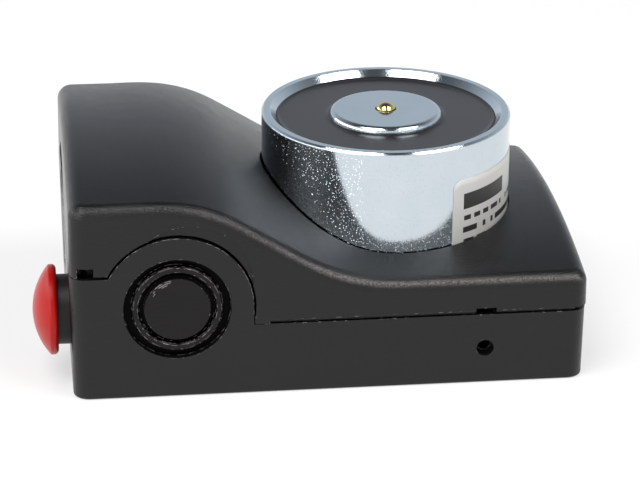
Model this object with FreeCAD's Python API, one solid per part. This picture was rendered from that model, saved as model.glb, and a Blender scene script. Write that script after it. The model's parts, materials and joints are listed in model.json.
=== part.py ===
import FreeCAD, Part
import math
import os
from FreeCAD import Vector

# Electromagnetic door holder: a holding magnet in a two-part moulded housing with a release button.
# Millimetres. The origin is on the wall plane, on the magnet's axis. +X runs along the housing from
# the wiring end to the magnet end, +Y is the side away from the viewer, +Z points off the wall.

# Housing, outside
housing_length = 100.8
housing_depth = 71.2
magnet_to_end = 35.5          # from the magnet's axis to the housing's magnet end
corner_radius = 3.2           # upright corners
inner_corner = 0.8            # least radius of the upright corners inside the walls
edge_round = 2.8              # along the rim of the cover's top
base_round = 0.5              # where the base meets the wall
draft = math.radians(0.6)     # mould draft of the walls

# The cover's top: its long edges run flat, over, down a ramp and out flat again
high_top = 39.6               # height of the long edges over the wiring
low_top = 22.2                # height of the long edges beside the magnet
crown = 3.6                   # how far the middle of the top stands above its long edges
high_flat = 17.0              # length of the flat at the wiring end
ramp_slope = math.radians(31.5)
over_radius = 31.5
under_radius = 35.0
roof_station = 6.0            # spacing of the stations that the top is drawn through

# Walls of the two mouldings
base_wall = 2.5
base_floor = 2.5
cover_wall = 2.2
cover_roof = 2.4

# Parting line between base and cover, with a lap joint inside it
high_rim = 25.4               # height at the wiring end
low_rim = 14.7                # height at the magnet end
lap_land = 1.25               # outer half of the base's wall, which stands up beside the lap
lap_height = 1.2
lap_gap = 0.1
rim_gap = 0.18                # between the two rims, outside
groove_depth = 0.55           # bevel of the cover's lower edge at the magnet end
groove_height = 0.9
groove_setback = 3.0          # from the collar to where the bevel starts

# Cable entries: ringed knock-outs in arched collars, on the front, the back and the wiring end
entry_from_end = 20.6         # front and back entries, from the wiring end
entry_height = 18.6
side_entry_y = 12.0           # entry in the wiring end
collar_radius = 14.75
collar_gap = 0.45             # between the collar and the cover
recess_radius = 12.2          # shallow crescent in the cover, outside the collar
recess_shift = 2.4            # of its centre away from the corner
recess_rise = 4.8             # of its centre above the entry
recess_depth = 0.6
knockout_radius = 10.4
ring_outer = 8.8
ring_inner = 7.35
centre_disc = 6.35
ring_drop = 0.3               # of the raised ring below the wall's face
ring_round = 0.3
knockout_web = 0.8            # wall that is left at the bottom of the grooves

# Tabs of the cover inside the base, and the slots for a screwdriver above them
tab_gap = 0.15
tab_root = 3.5                # height of a tab's root above the rim
lock_from_end = 80.6          # lock tabs, from the wiring end
lock_width = 9.0
lock_thickness = 1.6
lock_reach = 11.5             # of a lock tab below the low rim
lock_hole_height = 7.5
lock_hole_radius = 1.7
lock_pilot_radius = 1.3
hook_from_end = 5.4           # snap hooks, from the wiring end
hook_width = 3.6
hook_thickness = 1.2
hook_reach = 6.0              # of a hook below the high rim
hook_barb = 0.55
hook_barb_height = 2.0
pocket_play = 0.2
slot_depth = 3.0
lock_slot_width = 4.0
lock_slot_height = 1.45
hook_slot_from_end = 3.2
hook_slot_width = 3.1
hook_slot_height = 2.3
step_width = 2.7
step_height = 0.6
step_depth = 1.2
corner_slot_from_end = 98.9
corner_slot_width = 1.8
corner_slot_height = 0.9
corner_slot_depth = 1.1

# Holding magnet
magnet_radius = 25.0
magnet_height = 28.0
pot_floor = 5.0
pot_bore = 21.9
pot_outer_chamfer = 0.4
potting_depth = 1.4           # of the resin below the magnet's face
potting_thickness = 2.0
pole_radius = 11.4
pole_round = 1.2
fill_gap = 0.02               # between the resin and the steel
magnet_gap = 0.4              # between the pot and the cover's hole

# Coil
bobbin_gap = 0.1
bobbin_tube = 1.0
bobbin_flange = 1.2
winding_gap = 0.05
winding_margin = 1.0          # from the winding to the edge of the flanges

# Label on the side of the pot
label_thickness = 0.12
label_from_face = 7.2         # its upper edge below the magnet's face
label_height = 16.0
label_length = 50.0
label_start = -65.5           # degrees round the magnet's axis, from +X
label_corner = 2.0

# Ejector pin, its spring and the screws in the pole core
core_bore = 3.0
face_web = 3.0                # steel that is left above the bore
pin_hole = 2.15
pin_radius = 1.9
pin_stand = 1.3               # of the pin above the magnet's face, which is its travel
pin_dome = 1.1
collar_play = 0.07
collar_length = 2.5
spigot_radius = 1.1
spigot_length = 2.0
ejector_spring_radius = 2.3
ejector_spring_wire = 0.5
ejector_spring_turns = 4
ejector_spring_length = 6.0
set_screw_length = 3.0
thread_play = 0.1
hex_socket = 1.5              # half the width across flats
hex_socket_depth = 1.6

# Pedestal of the base under the magnet, and the screw from the wall side
pedestal_height = 16.8        # from the wall to the magnet's seat
pedestal_radius = 24.0
pedestal_wall = 2.5
pedestal_ribs = 6
pedestal_rib = 2.0
counterbore = 6.5
counterbore_wall = 2.5
seat_web = 7.0                # thickness under the magnet that the screw pulls on
magnet_screw_hole = 3.2
magnet_screw_radius = 2.9
magnet_screw_length = 20.0
magnet_screw_head = 5.0
magnet_screw_head_height = 3.9
driver_slot = 1.2
driver_slot_depth = 1.6
washer_radius = 5.2
washer_thickness = 1.2

# Screw holes for the wall
wall_hole_radius = 2.25
wall_hole_x = 56.0            # hole to hole along the housing
wall_hole_y = 54.0            # hole to hole across it
wall_boss_radius = 4.6
wall_boss_height = 1.5

# Release button
button_from_front = 13.0
button_height = 13.9
neck_radius = 6.85
neck_play = 0.1
button_travel = 1.8
cap_clearance = 0.3           # from the cap's back to the housing's end with the button pressed
cap_radius = 8.85
cap_rim = 1.5                 # thickness of the cap's edge
cap_back_round = 0.9
cap_brow_round = 0.5
cap_height = 4.8
cap_socket = 3.0
cap_socket_depth = 2.4
cap_socket_play = 0.05

# Switch behind the button
switch_length = 16.5
switch_width = 17.0
chamber_length = 9.0
partition = 2.0
stem_radius = 2.5
stem_play = 0.1
neck_length_inside = 4.4      # of the neck behind the housing's end
stem_tip_radius = 1.25
contact_half_width = 7.0
contact_half_height = 6.0
contact_strip = 0.5
contact_width = 2.8
contact_spacing = 10.0
contact_drop = 2.0            # of the strips below the stem's axis
contact_stand = 3.0           # of the lugs above the switch body
strip_play = 0.05
bridge_thickness = 0.6
bridge_height = 4.0
bridge_length = 12.8
bridge_play = 0.05            # between the bridge's hole and the stem's tip
rivet_radius = 1.2
rivet_height = 0.6
clip_radius = 2.3
clip_thickness = 0.6
clip_mouth = 2.0              # width of the clip's open side
tip_beyond_clip = 0.6
end_cap_thickness = 1.5
button_spring_radius = 5.2
button_spring_wire = 0.6
button_spring_turns = 3
cradle_inset = 2.0
cradle_rib = 1.2
cradle_rib_height = 9.0
cradle_play = 0.05

# Circuit board on its posts
board_from_end = 4.0
board_to_pot = 8.0
board_gap = 0.4               # from the board to the switch's cradle and to the back wall
board_bottom = 7.0
board_thickness = 1.6
board_corner = 1.0
post_inset = 2.8
post_radius = 3.0
pilot_radius = 1.3
pilot_depth = 4.0
peg_radius = 1.2
peg_play = 0.1
board_screw_radius = 1.25
board_screw_length = 5.0
board_screw_head = 2.2
board_screw_head_height = 1.8
board_screw_head_bevel = 0.6

# Terminal block
poles = 4
pole_pitch = 5.08
terminal_setback = 1.0        # from the board's edge by the magnet
terminal_length = 10.0
terminal_height = 14.0
terminal_bevel = 3.0
clamp_width = 3.8
clamp_height = 4.4
clamp_length = 5.0
clamp_wall = 0.7
clamp_play = 0.05
clamp_lift = 2.2              # of the clamps above the board
terminal_screw_radius = 1.3
terminal_screw_reach = 1.5    # of the screw below the outside of the clamp's roof
terminal_head_radius = 1.75
terminal_head_height = 1.6
terminal_slot = 0.7
terminal_slot_depth = 0.8
terminal_well_radius = 1.95
terminal_screw_rise = 3.0     # from the clamp's roof to the top of the head

# Suppression diode on the board
diode_gap = 2.0               # from the terminal block
diode_radius = 1.35
diode_length = 5.2
diode_lift = 0.2
diode_wire = 0.4
diode_span = 9.6

# Leads
lead_radius = 0.7
wire_sides = 6                # of the section that a wire is drawn with
coil_lead_x = -16.5
coil_lead_y = -3.2
coil_lead_spacing = 2.6
coil_lead_hole = 2.6
coil_lead_height = 12.5
coil_lead_pads = (6.5, 8.5)    # from the board's edge by the magnet
lead_slot_width = 7.0
lead_slot_bottom = 9.0
switch_lead_height = (28.6, 31.4)
switch_lead_pads = (3.85, 5.75)   # from the board's edge by the switch
bend_share = 0.45             # of the shorter run that a bend may take up
largest_bend = 6.0            # radius of a wire's bend where its runs are long

# Places worked out from the sizes above
UP = Vector(0, 0, 1)
x_left = magnet_to_end - housing_length
x_right = magnet_to_end
y_front = -housing_depth / 2
y_back = housing_depth / 2
overrun = 1.0                 # how far a cutting tool runs past what it cuts
clear_top = high_top + crown + overrun
collar_top = entry_height + collar_radius
collar_x = x_left + entry_from_end
face_z = pedestal_height + magnet_height
coil_floor = pedestal_height + pot_floor
potting_top = face_z - potting_depth
potting_bottom = potting_top - potting_thickness
button_y = y_front + button_from_front
cap_stand = button_travel + cap_clearance   # of the cap's back above the housing's end
board_top = board_bottom + board_thickness
board_x = x_left + board_from_end
board_end = -magnet_radius - board_to_pot
board_y = button_y + switch_width / 2 + cradle_play + cradle_rib + board_gap
board_back = y_back - base_wall - board_gap
terminal_x = board_end - terminal_setback - terminal_length
terminal_y = (board_y + board_back - poles * pole_pitch) / 2


def box(x0, x1, y0, y1, z0, z1):
    return Part.makeBox(x1 - x0, y1 - y0, z1 - z0, Vector(x0, y0, z0))


def disc(radius, z0, z1, x=0.0, y=0.0):
    return Part.makeCylinder(radius, z1 - z0, Vector(x, y, z0))


def rod(radius, start, end):
    along = end - start
    return Part.makeCylinder(radius, along.Length, start, along)


def joined(first, *others):
    """One solid from pieces that touch or overlap, without the seams between them."""
    return first.fuse(list(others)).removeSplitter()


def turned(points, centre=Vector(0, 0, 0)):
    """Solid of revolution about an upright axis, from (radius, height) corners."""
    corners = [Vector(r, 0, z) for r, z in points]
    face = Part.Face(Part.makePolygon(corners + corners[:1]))
    solid = face.revolve(Vector(0, 0, 0), UP, 360)
    solid.translate(centre)
    return solid


def facing(shape, at, outward):
    """Copy of a shape drawn round +Z, turned to face outward and set down at a point."""
    copy = shape.copy()
    copy.Placement = FreeCAD.Placement(at, FreeCAD.Rotation(UP, outward))
    return copy


def upright_edges(shape, least=edge_round):
    """Edges that rise by more than the given height."""
    return [e for e in shape.Edges if abs(e.Vertexes[0].Z - e.Vertexes[-1].Z) > least]


def edges_at(shape, height):
    """Edges that lie flat at one height."""
    near = 1e-4
    return [e for e in shape.Edges if all(abs(v.Z - height) < near for v in e.Vertexes)
            and abs(e.BoundBox.ZMax - e.BoundBox.ZMin) < near]


def drafted_block(z0, z1, inset0, inset1):
    """Block with four leaning sides, each inset from the housing's nominal plan."""
    def ring(inset, z):
        x0, x1 = x_left + inset, x_right - inset
        y0, y1 = y_front + inset, y_back - inset
        return [Vector(x0, y0, z), Vector(x1, y0, z), Vector(x1, y1, z), Vector(x0, y1, z)]
    low, high = ring(inset0, z0), ring(inset1, z1)
    sides = [[low[i], low[(i + 1) % 4], high[(i + 1) % 4], high[i]] for i in range(4)]
    faces = [Part.Face(Part.makePolygon(ring + ring[:1])) for ring in [low[::-1], high] + sides]
    return Part.Solid(Part.Shell(faces))


def plan_block(inset, z0, z1):
    """Straight block with the housing's plan, inset all round, with its upright corners rounded."""
    block = drafted_block(z0, z1, inset, inset)
    return block.makeFillet(max(corner_radius - inset, inner_corner), upright_edges(block))


def top_height(x):
    """Height of the cover's long edge: flat, over the shoulder, down the ramp and out flat."""
    sine, cosine = math.sin(ramp_slope), math.cos(ramp_slope)
    bends = (over_radius + under_radius) * (1 - cosine)
    ramp = (high_top - low_top - bends) / math.tan(ramp_slope)
    over_start = x_left + high_flat
    ramp_start = over_start + over_radius * sine
    ramp_end = ramp_start + ramp
    under_end = ramp_end + under_radius * sine
    if x <= over_start:
        return high_top
    if x <= ramp_start:
        return high_top - over_radius + math.sqrt(over_radius ** 2 - (x - over_start) ** 2)
    if x <= ramp_end:
        return high_top - over_radius * (1 - cosine) - (x - ramp_start) * math.tan(ramp_slope)
    if x <= under_end:
        return low_top + under_radius - math.sqrt(under_radius ** 2 - (under_end - x) ** 2)
    return low_top


def above_roof(drop):
    """Everything above the cover's crowned top, lowered by drop."""
    margin = 2 * roof_station
    count = math.ceil((housing_length + 2 * margin) / roof_station)
    spread = housing_depth / 2 + margin
    rows = []
    for i in range(count + 1):
        x = x_left - margin + i * roof_station
        row = []
        for j in range(-2, 3):
            y = spread * j / 2
            rise = crown * (1 - (y / y_back) ** 2)
            row.append(Vector(x, y, top_height(x) + rise - drop))
        rows.append(row)
    sheet = Part.BSplineSurface()
    sheet.interpolate(rows)
    return sheet.toShape().extrude(UP * (clear_top + crown))


def below_rim(grow):
    """Everything on the base's side of the parting line, which is moved outwards by grow."""
    x0, x1 = x_left - overrun, x_right + overrun
    y0, y1 = y_front - overrun, y_back + overrun
    reach = collar_radius + grow
    low = box(x0, x1, y0, y1, -overrun, low_rim + grow)
    step = box(x0, collar_x + reach, y0, y1, -overrun, entry_height)
    high = box(x0, collar_x, y0, y1, -overrun, high_rim + grow)
    arch = rod(reach, Vector(collar_x, y0, entry_height), Vector(collar_x, y1, entry_height))
    inside = x_left + base_wall + overrun
    side_arch = rod(reach, Vector(x0, side_entry_y, entry_height), Vector(inside, side_entry_y, entry_height))
    return joined(low, step, high, arch, side_arch)


def entries():
    """Centre on the wall's face, outward direction and direction of the near corner, of each cable entry."""
    return [
        (Vector(collar_x, y_front, entry_height), Vector(0, -1, 0), Vector(-1, 0, 0)),
        (Vector(collar_x, y_back, entry_height), Vector(0, 1, 0), Vector(-1, 0, 0)),
        (Vector(x_left, side_entry_y, entry_height), Vector(-1, 0, 0), Vector(0, 1, 0)),
    ]


def knockout_cutter():
    """Two ring grooves and a sunk ring between them, cut from a wall whose face is at zero height."""
    bottom = knockout_web - base_wall
    sunk = -ring_drop
    profile = [
        (centre_disc, overrun), (centre_disc, bottom), (ring_inner, bottom), (ring_inner, sunk - ring_round),
        (ring_inner + ring_round, sunk), (ring_outer - ring_round, sunk), (ring_outer, sunk - ring_round),
        (ring_outer, bottom), (knockout_radius, bottom), (knockout_radius, overrun),
    ]
    return turned(profile)


def pedestal():
    """Ring, screw boss and ribs that carry the magnet, with the coil leads' way out."""
    seat, start = pedestal_height, base_floor / 2
    inner = pedestal_radius - pedestal_wall
    ring = disc(pedestal_radius, start, seat).cut(disc(inner, start, seat))
    boss_radius = counterbore + counterbore_wall
    boss = disc(boss_radius, start, seat)
    ribs = []
    for i in range(pedestal_ribs):
        rib = box(boss_radius - overrun, inner + overrun, -pedestal_rib / 2, pedestal_rib / 2, start, seat)
        rib.rotate(Vector(0, 0, 0), UP, (i + 0.5) * 360 / pedestal_ribs)
        ribs.append(rib)
    whole = joined(ring, boss, *ribs)
    half = lead_slot_width / 2
    way_out = box(-pedestal_radius - overrun, coil_lead_x - coil_lead_hole, coil_lead_y - half,
                  coil_lead_y + half, lead_slot_bottom, seat + overrun)
    return whole.cut(way_out)


def board_posts():
    """Centres of the four posts under the circuit board: two take screws, two have pegs."""
    x0, x1 = board_x + post_inset, board_end - post_inset
    y0, y1 = board_y + post_inset, board_back - post_inset
    return {"screws": [(x0, y0), (x1, y1)], "pegs": [(x0, y1), (x1, y0)]}


def wall_holes():
    return [(sx * wall_hole_x / 2, sy * wall_hole_y / 2) for sx in (-1, 1) for sy in (-1, 1)]


def make_base_shell():
    lean = math.tan(draft)
    top = collar_top + overrun
    outer = drafted_block(0, top, collar_top * lean, -overrun * lean)
    outer = outer.makeFillet(corner_radius, upright_edges(outer))
    outer = outer.makeFillet(base_round, edges_at(outer, 0))
    cavity = plan_block(base_wall, base_floor, top + overrun)
    lap = plan_block(lap_land, base_floor, top + overrun).cut(below_rim(-lap_height))
    shell = outer.common(below_rim(0)).cut(cavity).cut(lap)

    additions = [pedestal()]
    for x, y in wall_holes():
        additions.append(disc(wall_boss_radius, base_floor / 2, base_floor + wall_boss_height, x, y))
    posts = board_posts()
    for x, y in posts["screws"] + posts["pegs"]:
        additions.append(disc(post_radius, base_floor / 2, board_bottom, x, y))
    for x, y in posts["pegs"]:
        additions.append(disc(peg_radius, base_floor, board_top, x, y))
    additions += switch_cradle()
    shell = joined(shell, *additions)

    tools = [disc(counterbore, -overrun, pedestal_height - seat_web),
             disc(magnet_screw_hole, -overrun, pedestal_height + overrun)]
    for x, y in wall_holes():
        tools.append(disc(wall_hole_radius, -overrun, base_floor + wall_boss_height + overrun, x, y))
    for x, y in posts["screws"]:
        tools.append(disc(pilot_radius, board_bottom - pilot_depth, board_bottom + overrun, x, y))
    for centre, outward, _ in entries():
        tools.append(facing(knockout_cutter(), centre, outward))
    tools.append(rod(neck_radius + neck_play, Vector(x_left - overrun, button_y, button_height),
                     Vector(x_left + base_wall + overrun, button_y, button_height)))
    lock_x = x_left + lock_from_end
    tools.append(rod(lock_hole_radius, Vector(lock_x, y_front - overrun, lock_hole_height),
                     Vector(lock_x, y_front + base_wall + overrun, lock_hole_height)))
    tools += hook_pockets()
    for tool in tools:
        shell = shell.cut(tool)
    return shell


def hook_pockets():
    """Pockets inside the base's walls that the cover's snap hooks catch in."""
    half = hook_width / 2 + pocket_play
    x = x_left + hook_from_end
    bottom = high_rim - hook_reach - pocket_play
    pockets = []
    for side in (-1, 1):
        wall = side * (y_back - base_wall)
        depth = side * (hook_barb + pocket_play)
        y0, y1 = sorted((wall - side * overrun, wall + depth))
        pockets.append(box(x - half, x + half, y0, y1, bottom, bottom + hook_barb_height + 2 * pocket_play))
    return pockets


def switch_cradle():
    """Pad under the switch body and a rib on each side of it."""
    x0 = x_left + base_wall + cradle_inset
    x1 = x_left + base_wall + switch_length - cradle_inset
    half = switch_width / 2
    bottom = button_height - half
    start = base_floor / 2
    pad = box(x0, x1, button_y - half + cradle_inset, button_y + half - cradle_inset, start, bottom)
    ribs = []
    for side in (-1, 1):
        near = button_y + side * (half + cradle_play)
        y0, y1 = sorted((near, near + side * cradle_rib))
        ribs.append(box(x0, x1, y0, y1, start, bottom + cradle_rib_height))
    return [pad] + ribs


def cover_block(inset, drop):
    """The cover's form with its crowned top, inset all round and lowered by drop."""
    lean = math.tan(draft)
    bottom, top = low_rim - lap_height - overrun, clear_top
    block = drafted_block(bottom, top, inset + (bottom - low_rim) * lean, inset + (top - low_rim) * lean)
    block = block.makeFillet(max(corner_radius - inset, inner_corner), upright_edges(block))
    return block.cut(above_roof(drop)).Solids[0]


def rounded_top(block):
    """The block with the rim of its crowned face rounded over."""
    crowned = [f for f in block.Faces if isinstance(f.Surface, Part.BSplineSurface)]
    roof = max(crowned, key=lambda f: f.Area)
    return block.makeFillet(edge_round, roof.OuterWire.Edges)


def lower_bevel():
    """What the bevel of the cover's lower edge takes away at the magnet end."""
    lean = math.tan(draft)
    bottom = low_rim
    keep = drafted_block(bottom, bottom + groove_height, groove_depth, groove_height * lean)
    keep = keep.makeFillet(corner_radius, upright_edges(keep, groove_height / 2))
    start = collar_x + collar_radius + groove_setback
    slab = box(start, x_right + overrun, y_front - overrun, y_back + overrun, bottom, bottom + groove_height)
    return slab.cut(keep)


def cover_tabs():
    """Lock tabs at the magnet end and snap hooks at the wiring end, on the front and the back wall."""
    tabs = []
    for side in (-1, 1):
        for from_end, width, thickness, rim, reach in (
                (lock_from_end, lock_width, lock_thickness, low_rim, lock_reach),
                (hook_from_end, hook_width, hook_thickness, high_rim, hook_reach)):
            x0 = x_left + from_end - width / 2
            near = side * (y_back - base_wall - tab_gap)
            far = near - side * thickness
            wall = side * (y_back - cover_wall / 2)
            y0, y1 = sorted((near, far))
            blade = box(x0, x0 + width, y0, y1, rim - reach, rim + tab_root)
            y0, y1 = sorted((wall, far))
            root = box(x0, x0 + width, y0, y1, rim + rim_gap, rim + tab_root)
            tabs.append(joined(blade, root))
        x0 = x_left + hook_from_end - hook_width / 2
        near = side * (y_back - base_wall - tab_gap)
        foot = high_rim - hook_reach
        corners = [Vector(x0, near, foot), Vector(x0, near + side * hook_barb, foot + hook_barb_height),
                   Vector(x0, near, foot + hook_barb_height)]
        barb = Part.Face(Part.makePolygon(corners + corners[:1])).extrude(Vector(hook_width, 0, 0))
        tabs.append(barb)
    return tabs


def cover_slots():
    """Screwdriver slots in the cover's lower edge, the same on the front and the back."""
    cuts = []
    for side in (-1, 1):
        for from_end, width, rim, height, depth in (
                (lock_from_end, lock_slot_width, low_rim, lock_slot_height, slot_depth),
                (corner_slot_from_end, corner_slot_width, low_rim, corner_slot_height, corner_slot_depth),
                (hook_slot_from_end, hook_slot_width, high_rim, hook_slot_height, slot_depth),
                (hook_slot_from_end + (hook_slot_width + step_width) / 2, step_width, high_rim,
                 step_height, step_depth)):
            x0 = x_left + from_end - width / 2
            y0, y1 = sorted((side * (y_back + overrun), side * (y_back - depth)))
            cuts.append(box(x0, x0 + width, y0, y1, rim - lap_height, rim + height))
    return cuts


def make_cover_shell():
    outer = rounded_top(cover_block(0, 0))
    shell = outer.cut(cover_block(cover_wall, cover_roof))
    outside = below_rim(rim_gap).cut(plan_block(lap_land + lap_gap, -2 * overrun, clear_top))
    shell = shell.cut(below_rim(rim_gap - lap_height)).cut(outside).cut(lower_bevel())
    for centre, outward, corner in entries():
        near = centre - outward * (cover_wall + overrun)
        shell = shell.cut(rod(collar_radius + collar_gap, near, centre + outward * overrun))
        middle = centre - corner * recess_shift + UP * recess_rise
        shell = shell.cut(rod(recess_radius, middle - outward * recess_depth, middle + outward * overrun))
    shell = joined(shell, *cover_tabs())
    for cut in cover_slots():
        shell = shell.cut(cut)
    pilot_x = x_left + lock_from_end
    shell = shell.cut(rod(lock_pilot_radius, Vector(pilot_x, y_front, lock_hole_height),
                          Vector(pilot_x, y_front + 2 * base_wall, lock_hole_height)))
    return shell.cut(disc(magnet_radius + magnet_gap, 0, clear_top))


def make_magnet_pot():
    bevel = potting_depth
    pot = turned([
        (0, pedestal_height), (magnet_radius, pedestal_height), (magnet_radius, face_z - pot_outer_chamfer),
        (magnet_radius - pot_outer_chamfer, face_z), (pot_bore + bevel, face_z), (pot_bore, face_z - bevel),
        (pot_bore, coil_floor), (0, coil_floor),
    ])
    pot = pot.cut(disc(magnet_screw_hole, pedestal_height - overrun, coil_floor + overrun))
    return pot.cut(disc(coil_lead_hole, pedestal_height - overrun, coil_floor + overrun, coil_lead_x, coil_lead_y))


def make_pole_core():
    bore_top = face_z - face_web
    core = turned([(core_bore, coil_floor), (pole_radius, coil_floor), (pole_radius, face_z), (pin_hole, face_z),
                   (pin_hole, bore_top), (core_bore, bore_top)])
    rim = max(edges_at(core, face_z), key=lambda e: e.Length)
    return core.makeFillet(pole_round, [rim])


def make_potting_ring():
    inner, outer = pole_radius + fill_gap, pot_bore - fill_gap
    return turned([(inner, potting_bottom), (outer, potting_bottom), (outer, potting_top), (inner, potting_top)])


def bobbin_radii():
    """Radii of the bobbin's bore, tube and flanges."""
    bore = pole_radius + bobbin_gap
    return bore, bore + bobbin_tube, pot_bore - bobbin_gap


def make_coil_bobbin():
    bore, tube, flange = bobbin_radii()
    low, high = coil_floor + bobbin_flange, potting_bottom - bobbin_flange
    return turned([(bore, coil_floor), (flange, coil_floor), (flange, low), (tube, low), (tube, high),
                   (flange, high), (flange, potting_bottom), (bore, potting_bottom)])


def make_coil_winding():
    _, tube, flange = bobbin_radii()
    low, high = coil_floor + bobbin_flange, potting_bottom - bobbin_flange
    inner, outer = tube + winding_gap, flange - winding_margin
    return turned([(inner, low), (outer, low), (outer, high), (inner, high)])


def make_magnet_label():
    top = face_z - label_from_face
    bottom = top - label_height
    outer = magnet_radius + label_thickness
    strip = Part.makePolygon([Vector(r, 0, z) for r, z in
                              ((magnet_radius, bottom), (outer, bottom), (outer, top), (magnet_radius, top),
                               (magnet_radius, bottom))])
    sweep = math.degrees(label_length / magnet_radius)
    label = Part.Face(strip).revolve(Vector(0, 0, 0), UP, sweep)
    label.rotate(Vector(0, 0, 0), UP, label_start)
    corners = [e for e in label.Edges if abs(e.Length - label_thickness) < label_thickness / 10]
    return label.makeFillet(label_corner, corners)


def make_ejector_pin():
    collar_z = face_z - face_web
    guide = core_bore - collar_play
    shoulder = face_z + pin_stand - pin_dome
    shaft = turned([
        (0, collar_z - collar_length - spigot_length), (spigot_radius, collar_z - collar_length - spigot_length),
        (spigot_radius, collar_z - collar_length), (guide, collar_z - collar_length), (guide, collar_z),
        (pin_radius, collar_z), (pin_radius, shoulder), (0, shoulder),
    ])
    return joined(shaft, dome(pin_radius, shoulder, pin_dome))


def dome(radius, z, rise):
    """Spherical cap of the given rise that stands on a circle at height z."""
    sphere = (radius ** 2 + rise ** 2) / (2 * rise)
    ball = Part.makeSphere(sphere, Vector(0, 0, z + rise - sphere))
    return ball.common(disc(radius, z, z + 2 * rise))


def spring(length, radius, wire, turns):
    """Coil spring that stands on zero height, with its ends ground flat."""
    spare = wire / 2
    height = length + 2 * spare
    helix = Part.makeHelix(height / turns, height, radius)
    helix.translate(Vector(0, 0, -spare))
    section = wire_section(Vector(radius, 0, -spare), Vector(0, 1, 0), UP, wire / 2)
    coil = Part.Wire(helix.Edges).makePipeShell([section.OuterWire], True, True)
    reach = radius + 2 * wire
    slab = box(-reach, reach, -reach, reach, 0, length)
    return max(coil.common(slab).Solids, key=lambda s: s.Volume)


def make_ejector_spring():
    coil = spring(ejector_spring_length, ejector_spring_radius, ejector_spring_wire, ejector_spring_turns)
    coil.translate(UP * (face_z - face_web - collar_length - ejector_spring_length))
    return coil


def hexagon(half_flats, z0, z1):
    """Upright hexagonal prism, for a key socket."""
    reach = half_flats / math.cos(math.pi / 6)
    corners = [Vector(reach * math.cos(i * math.pi / 3), reach * math.sin(i * math.pi / 3), z0) for i in range(6)]
    return Part.Face(Part.makePolygon(corners + corners[:1])).extrude(UP * (z1 - z0))


def make_spring_set_screw():
    top = face_z - face_web - collar_length - ejector_spring_length
    bottom = top - set_screw_length
    return disc(core_bore - thread_play, bottom, top).cut(
        hexagon(hex_socket, bottom - overrun, bottom + hex_socket_depth))


def screw_seat():
    """Height of the face that the magnet screw's washer bears on."""
    return pedestal_height - seat_web


def make_lock_washer():
    top = screw_seat()
    return disc(washer_radius, top - washer_thickness, top).cut(
        disc(magnet_screw_hole, top - washer_thickness - overrun, top + overrun))


def make_magnet_screw():
    head_top = screw_seat() - washer_thickness
    head_bottom = head_top - magnet_screw_head_height
    screw = joined(disc(magnet_screw_head, head_bottom, head_top),
                   disc(magnet_screw_radius, head_top, head_top + magnet_screw_length))
    half, reach = driver_slot / 2, magnet_screw_head + overrun
    return screw.cut(box(-reach, reach, -half, half, head_bottom - overrun, head_bottom + driver_slot_depth))


def along_button(shape, depth):
    """Set a shape drawn round +Z on the button's axis, its zero at a depth inside the housing's end."""
    return facing(shape, Vector(x_left + depth, button_y, button_height), Vector(1, 0, 0))


def bridge_depth():
    """Depth of the contact bridge's face that meets the rivets, from the housing's end."""
    return base_wall + chamber_length + partition + contact_strip + rivet_height


def arc(centre_r, centre_z, radius, start, end):
    """Arc in the profile plane, between two angles from the outward direction."""
    points = [Vector(centre_r + radius * math.cos(a), 0, centre_z + radius * math.sin(a))
              for a in (start, (start + end) / 2, end)]
    return Part.Arc(*points).toShape()


def make_button_cap():
    """Mushroom cap, turned: flat back with a socket, rounded edge, rim, rounded brow and shallow dome."""
    rise = cap_height - cap_rim
    dome_radius = (cap_radius ** 2 + rise ** 2) / (2 * rise)
    dome_centre = cap_height - dome_radius
    brow_r = cap_radius - cap_brow_round
    brow_z = dome_centre + math.sqrt((dome_radius - cap_brow_round) ** 2 - brow_r ** 2)
    meet = math.atan2(brow_z - dome_centre, brow_r)
    curves = [
        arc(cap_radius - cap_back_round, cap_back_round, cap_back_round, -math.pi / 2, 0),
        arc(brow_r, brow_z, cap_brow_round, 0, meet),
        arc(0, dome_centre, dome_radius, meet, math.pi / 2),
    ]
    corners = [Vector(0, 0, cap_height), Vector(0, 0, cap_socket_depth), Vector(cap_socket, 0, cap_socket_depth),
               Vector(cap_socket, 0, 0), Vector(cap_radius - cap_back_round, 0, 0)]
    flats = [Part.makeLine(a, b) for a, b in zip(corners, corners[1:])]
    flats.append(Part.makeLine(Vector(cap_radius, 0, cap_back_round), Vector(cap_radius, 0, brow_z)))
    outline = Part.Wire(Part.__sortEdges__(curves + flats))
    cap = Part.Face(outline).revolve(Vector(0, 0, 0), UP, 360)
    return facing(cap, Vector(x_left - cap_stand, button_y, button_height), Vector(-1, 0, 0))


def make_button_plunger():
    neck_end = neck_length_inside
    shoulder = bridge_depth()
    tip = shoulder + bridge_thickness + clip_thickness + tip_beyond_clip
    spigot = cap_socket - cap_socket_play
    profile = [
        (0, -cap_stand - cap_socket_depth), (spigot, -cap_stand - cap_socket_depth), (spigot, -cap_stand),
        (neck_radius, -cap_stand), (neck_radius, neck_end), (stem_radius, neck_end), (stem_radius, shoulder),
        (stem_tip_radius, shoulder), (stem_tip_radius, tip), (0, tip),
    ]
    return along_button(turned(profile), 0)


def make_button_spring():
    room = base_wall + chamber_length - neck_length_inside
    coil = spring(room, button_spring_radius, button_spring_wire, button_spring_turns)
    return along_button(coil, neck_length_inside)


def contact_rows():
    return [button_y + side * contact_spacing / 2 for side in (-1, 1)]


def make_contact_bridge():
    x0 = x_left + bridge_depth()
    half, rise = bridge_length / 2, bridge_height / 2
    bar = box(x0, x0 + bridge_thickness, button_y - half, button_y + half, button_height - rise,
              button_height + rise)
    rivets = [rod(rivet_radius, Vector(x0 - rivet_height, y, button_height), Vector(x0, y, button_height))
              for y in contact_rows()]
    hole = along_button(disc(stem_tip_radius + bridge_play, -overrun, bridge_thickness + overrun), bridge_depth())
    return joined(bar, *rivets).cut(hole)


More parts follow.
